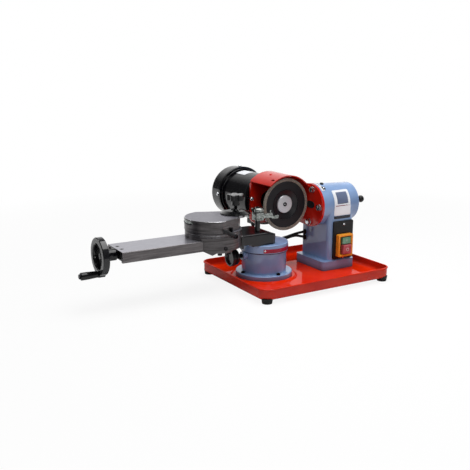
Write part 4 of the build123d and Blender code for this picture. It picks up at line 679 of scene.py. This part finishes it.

# Carriage edges: the table's rim and the saddle's shoulder worn bright, the dark joint between the two,
# and a dark tube below the scallop, a painted shadow of its lower edge, which rises towards its ends
for name, z, radius, start, end, material, slot in (
        ("table_rim_worn", 157.1, 0.6, 120, 266, bright_steel, "ground_steel"),
        ("table_joint", 130.5, 0.6, 150, 300, ink_and_painted_shade, "black_paint"),
        ("saddle_shoulder_worn", 126.6, 0.45, 192, 292, ground_steel, "ground_steel")):
    angle = np.linspace(start, end, 60)
    ring = np.stack(on_table(angle, 0 * angle + z, -1.2), -1)
    rings_piece(name, [tube(ring, radius, 12)], material, "carriage")
span = np.linspace(-1, 1, 32)
# Painted shadow: a dark tube under the scallop's lower edge, higher at its ends
scallop_shadow_path = np.stack(on_table(178 + 17 * span, 147.5 + 2.0 * span ** 2, -0.4), -1)
rings_piece("table_scallop_shadow", [tube(scallop_shadow_path, 1.8, 12)], ink_and_painted_shade, "carriage")

# Motor: a rounded step between the barrel and the cowl
step = np.concatenate([[(203.6, MOTOR_R - 0.5)], arc((204.8, 62.0), 1.2, 180, 90, 6),
                       [(208.7, 63.2), (208.7, MOTOR_R - 0.5)]])
rings_piece("motor_step_ring", [lathe(step, MOTOR_AXIS, BACK)], motor_black, "head",
            loop=True)

# Wheel: the recess has a turned edge, the hub disc a socket screw; the hood has a painted rivet
edge = arc((-7.1, 35.2), 0.9, 330, 0, 12)
rings_piece("wheel_recess_edge", [lathe(edge, MOTOR_AXIS, FRONT)], black_oxide, "spindle",
            loop=True)
rows = [(-2, 4.5)] + socket(top=1.6, head=5.0, height=1.6, recess=2.5, depth=1.2)
rings_piece("hub_centre_screw", [lathe(rows, (MOTOR_X, HUB_Y, MOTOR_Z), FRONT)], black_oxide, "spindle")
c, s = heading(105.3)
rivet = lathe([(0, 3.4), (0.9, 3.2), (1.6, 2.2), (1.9, 1.0)], around_motor(HOOD_R, HOOD_Y, c, s), (c, 0, s))
rings_piece("hood_rivet", [rivet], deep_red, "head")

# Lock wheel: a stepped hub on its screw, clear of the pot's lug
hub = [(-160.7, 17.6), (-160.2, 18.6), (-155.0, 18.6), (-153.8, 17.4), (-153.6, 12.4), (-150.2, 10.8),
       (-148.6, 8.6), (-148.0, 6.0)]
rings_piece("lock_wheel_hub", [lathe(hub, (0, 0, LOCK_SCREW_Z), RIGHT)], hand_wheel_black, "lock")

# Tray: a pressed pan with round corners and a beaded rim, and a raised pad round the pot
low, top, wall, inner, bead, bend, reach = -4.5, 22.0, 2.0, 3.5, 2.0, 9.0, 30.0
profile = np.concatenate([
    [(reach, low), (wall + bend + 1, low)],
    arc((wall + bend, low + bend), bend, -90, -180),
    arc((wall, top - bead), bead, -90, -310),
    arc((inner + bend, TRAY_FLOOR + bend), bend, -180, -90),
    [(inner + bend + 1, TRAY_FLOOR), (reach, TRAY_FLOOR)]])
tray = pressed(profile, middle=(0, -16.5), half=(182, 144.5), corner=26)
rings_piece("tray_pressed", [tray], red, "base", stands_for=["tray"])
pad = [(-0.4, 76.0), (-0.2, 80.4), (0.1, 79.4), (0.7, 77.4), (1.7, 75.8), (2.5, 74.0), (2.8, 72.0),
       (2.8, 68.4), (2.4, 67.6), (0.8, 67.4)]
rings_piece("tray_pot_pad", [lathe(pad, (POT_X, 0, TRAY_FLOOR), UP)], red, "base", loop=True)

# Pot: the dark joint under the cap. Arm: a shoulder that covers the rail's end
joint = [(64.0, 52.9), (64.2, 55.6), (65.6, 56.0), (65.8, 52.9)]
rings_piece("cap_joint", [lathe(joint, (POT_X, 0, 0), UP)], hand_wheel_black, "base",
            loop=True)
outline = [(-164.2, -42.8), (-163.6, -43.2), (-159.0, -43.2), (-158.6, -42.8), (-158.6, -34), (-164.2, -34)]
shoulder = np.array([np.c_[outline, np.full(len(outline), z)] for z in (84.6, 85.0, 113.2, 113.6)])
rings_piece("arm_shoulder", [shoulder], satin_black, "swivel")

# Glands where the leads leave the box: a hexagon nut and a rounded cap, bored for the lead
rows = [(0, 3.4), (0, 5.9 * HEX), (3.6, 5.9 * HEX), (3.8, 5.4), (6.6, 5.2), (8.0, 4.2), (8.2, 3.4)]
glands = [lathe(rows, (x, BOX_Y, BOX_FOOT), DOWN) for x in (-5, -19)]
rings_piece("lead_glands", glands, plate_plastic, "head", loop=True)

# Motor leads, from the box under the motor to the column's grommets
lead_routes = {
    "motor_lead_a": [(-5, BOX_Y, BOX_FOOT), (-5, BOX_Y, 75), (2, 132, 58), (20, 110, 51), (37, 85, 59),
                     (48, 66, 69), (59, 53, 76), (71, 47, 79), (85, 46, 79), (99, 46, 79),
                     (112, 45.8, 79)],
    "motor_lead_b": [(-19, BOX_Y, BOX_FOOT), (-19, BOX_Y, 74), (-13, 130, 57), (6, 106, 48), (24, 82, 54),
                     (38, 64, 65), (50, 53, 71), (62, 47.5, 69), (75, 46, 65.5), (88, 46, 64.8),
                     (100, 45.8, 65), (111, 45.8, 64.8)],
}
for name, route in lead_routes.items():
    curve = bpy.data.curves.new(name + "_route", "CURVE")
    curve.dimensions = "3D"
    spline = curve.splines.new("NURBS")
    spline.points.add(len(route) - 1)
    spline.points.foreach_set("co", np.c_[np.array(route, float) * MM, np.ones(len(route))].ravel())
    spline.order_u = 3
    spline.use_endpoint_u = True
    spline.resolution_u = 8
    holder = bpy.data.objects.new(name + "_route", curve)
    line = bpy.data.meshes.new_from_object(holder)
    path = np.zeros(len(line.vertices) * 3)
    line.vertices.foreach_get("co", path)
    path = path.reshape(-1, 3)
    bpy.data.objects.remove(holder)
    piece = rings_piece(name + "_flex", [tube(path / MM, LEAD_R)], rubber, None)
    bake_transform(piece)
    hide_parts(name)


# Stage: floor, world, lamps, camera
YAW, PITCH = np.radians(30.605), np.radians(13.342)


def beyond(tree, place, near, far):
    """From 0 to 1 as a place goes from near to far, measured level along the camera's line of sight."""
    depth = add(tree, "VectorMath", {1: (np.sin(YAW), np.cos(YAW), 0)}, {0: place}, operation="DOT_PRODUCT")
    return add(tree, "MapRange", {"From Min": near, "From Max": far}, {"Value": depth.outputs["Value"]})


def seen_white(tree, mirror):
    """The share of rays that see plain white: all those from the camera or through something clear, and
    the share mirror of mirrored ones."""
    rays = add(tree, "LightPath")
    mirrored = add(tree, "Math", links={0: rays.outputs["Is Glossy Ray"], 1: mirror}, operation="MULTIPLY")
    seen = add(tree, "Math", links={0: rays.outputs["Is Camera Ray"], 1: mirrored}, operation="MAXIMUM")
    return add(tree, "Math", links={0: seen, 1: rays.outputs["Is Transmission Ray"]}, operation="MAXIMUM")


def look_at(thing, target):
    """Turns a camera or lamp so that its -Z points at target."""
    thing.rotation_mode = "QUATERNION"
    thing.rotation_quaternion = (Vector(target) - thing.location).to_track_quat("-Z", "Y")


# Paper floor: white to the eye, slightly grey near the object, with the object's shadow on it
paper, tree, place = surface("white paper floor")
here = place.outputs["Object"]
away = add(tree, "VectorMath", links={0: here}, operation="LENGTH")
fade = add(tree, "MapRange", {"From Min": 0.5, "From Max": 1.4, "To Min": 0.88, "To Max": 1.0},
           {"Value": away.outputs["Value"]})
share = add(tree, "Math", links={0: seen_white(tree, beyond(tree, here, 0.1, 0.6)), 1: fade},
            operation="MULTIPLY")
matte = add(tree, "BsdfDiffuse", {"Color": "#f4f4f4"})
glow = add(tree, "Emission", {"Color": "#ffffff", "Strength": 1.0})
mixed = add(tree, "MixShader", links={0: share, 1: matte, 2: glow})
add(tree, "OutputMaterial", links={"Surface": mixed})
floor_mesh = bpy.data.meshes.new("floor")
corners = ((-20, -20), (20, -20), (20, 20), (-20, 20))
floor_mesh.from_pydata([(x, y, FLOOR_Z * MM) for x, y in corners], [], [(0, 1, 2, 3)])
floor_mesh.materials.append(paper)
floor = bpy.data.objects.new("floor", floor_mesh)
bpy.context.scene.collection.objects.link(floor)

# World: white to the eye, and in mirrors a white wall behind on the right, up to a set height
world = bpy.data.worlds.new("white studio")
bpy.context.scene.world = world
world.use_nodes = True
tree = world.node_tree
tree.nodes.clear()
toward = add(tree, "TexCoord").outputs["Generated"]
aim = add(tree, "SeparateXYZ", links={0: toward})
height = add(tree, "MapRange", {"From Min": 0.5, "From Max": 0.8, "To Min": 1.0, "To Max": 0.0},
             {"Value": aim.outputs["Z"]})
right = add(tree, "MapRange", {"From Min": -0.3, "From Max": 0.1}, {"Value": aim.outputs["X"]})
wall = add(tree, "Math", links={0: beyond(tree, toward, -0.3, 0.3), 1: height}, operation="MULTIPLY")
wall = add(tree, "Math", links={0: wall, 1: right}, operation="MULTIPLY")
level = add(tree, "MapRange", {"To Min": 0.08, "To Max": 1.0}, {"Value": seen_white(tree, wall)})
sky = add(tree, "Background", {"Color": "#ffffff"}, {"Strength": level})
add(tree, "OutputWorld", links={"Surface": sky})

# Lamps: place, target, width, height in metres, and watts
lamps = {
    "top softbox": ((0.05, -0.15, 1.4), (-0.05, 0.0, 0.1), 1.2, 1.2, 22.0),
    "front softbox": ((-0.45, -1.6, 1.0), (0.0, 0.0, 0.12), 0.4, 1.0, 7.0),
    "left strip": ((-1.2, 0.9, 0.5), (-0.1, 0.0, 0.12), 0.25, 1.0, 2.0),
    "right strip": ((1.4, -0.2, 0.5), (0.0, 0.0, 0.12), 0.25, 1.0, 2.8),
}
for name, (place, target, width, height, power) in lamps.items():
    data = bpy.data.lights.new(name, "AREA")
    data.shape = "RECTANGLE"
    data.size = width
    data.size_y = height
    data.energy = power
    lamp = bpy.data.objects.new(name, data)
    lamp.location = place
    lamp.visible_camera = False
    look_at(lamp, target)
    bpy.context.scene.collection.objects.link(lamp)

# Camera at the photo's viewing angle
camera = bpy.data.objects.new("camera", bpy.data.cameras.new("camera"))
camera.data.sensor_width = 36.0
camera.data.lens = 51.58
camera.location = (-0.9205, -1.2915, 0.4634)
ahead = Vector((np.sin(YAW) * np.cos(PITCH), np.cos(YAW) * np.cos(PITCH), -np.sin(PITCH)))
look_at(camera, camera.location + ahead)
bpy.context.scene.collection.objects.link(camera)
bpy.context.scene.camera = camera
bpy.context.scene.view_settings.view_transform = "Standard"
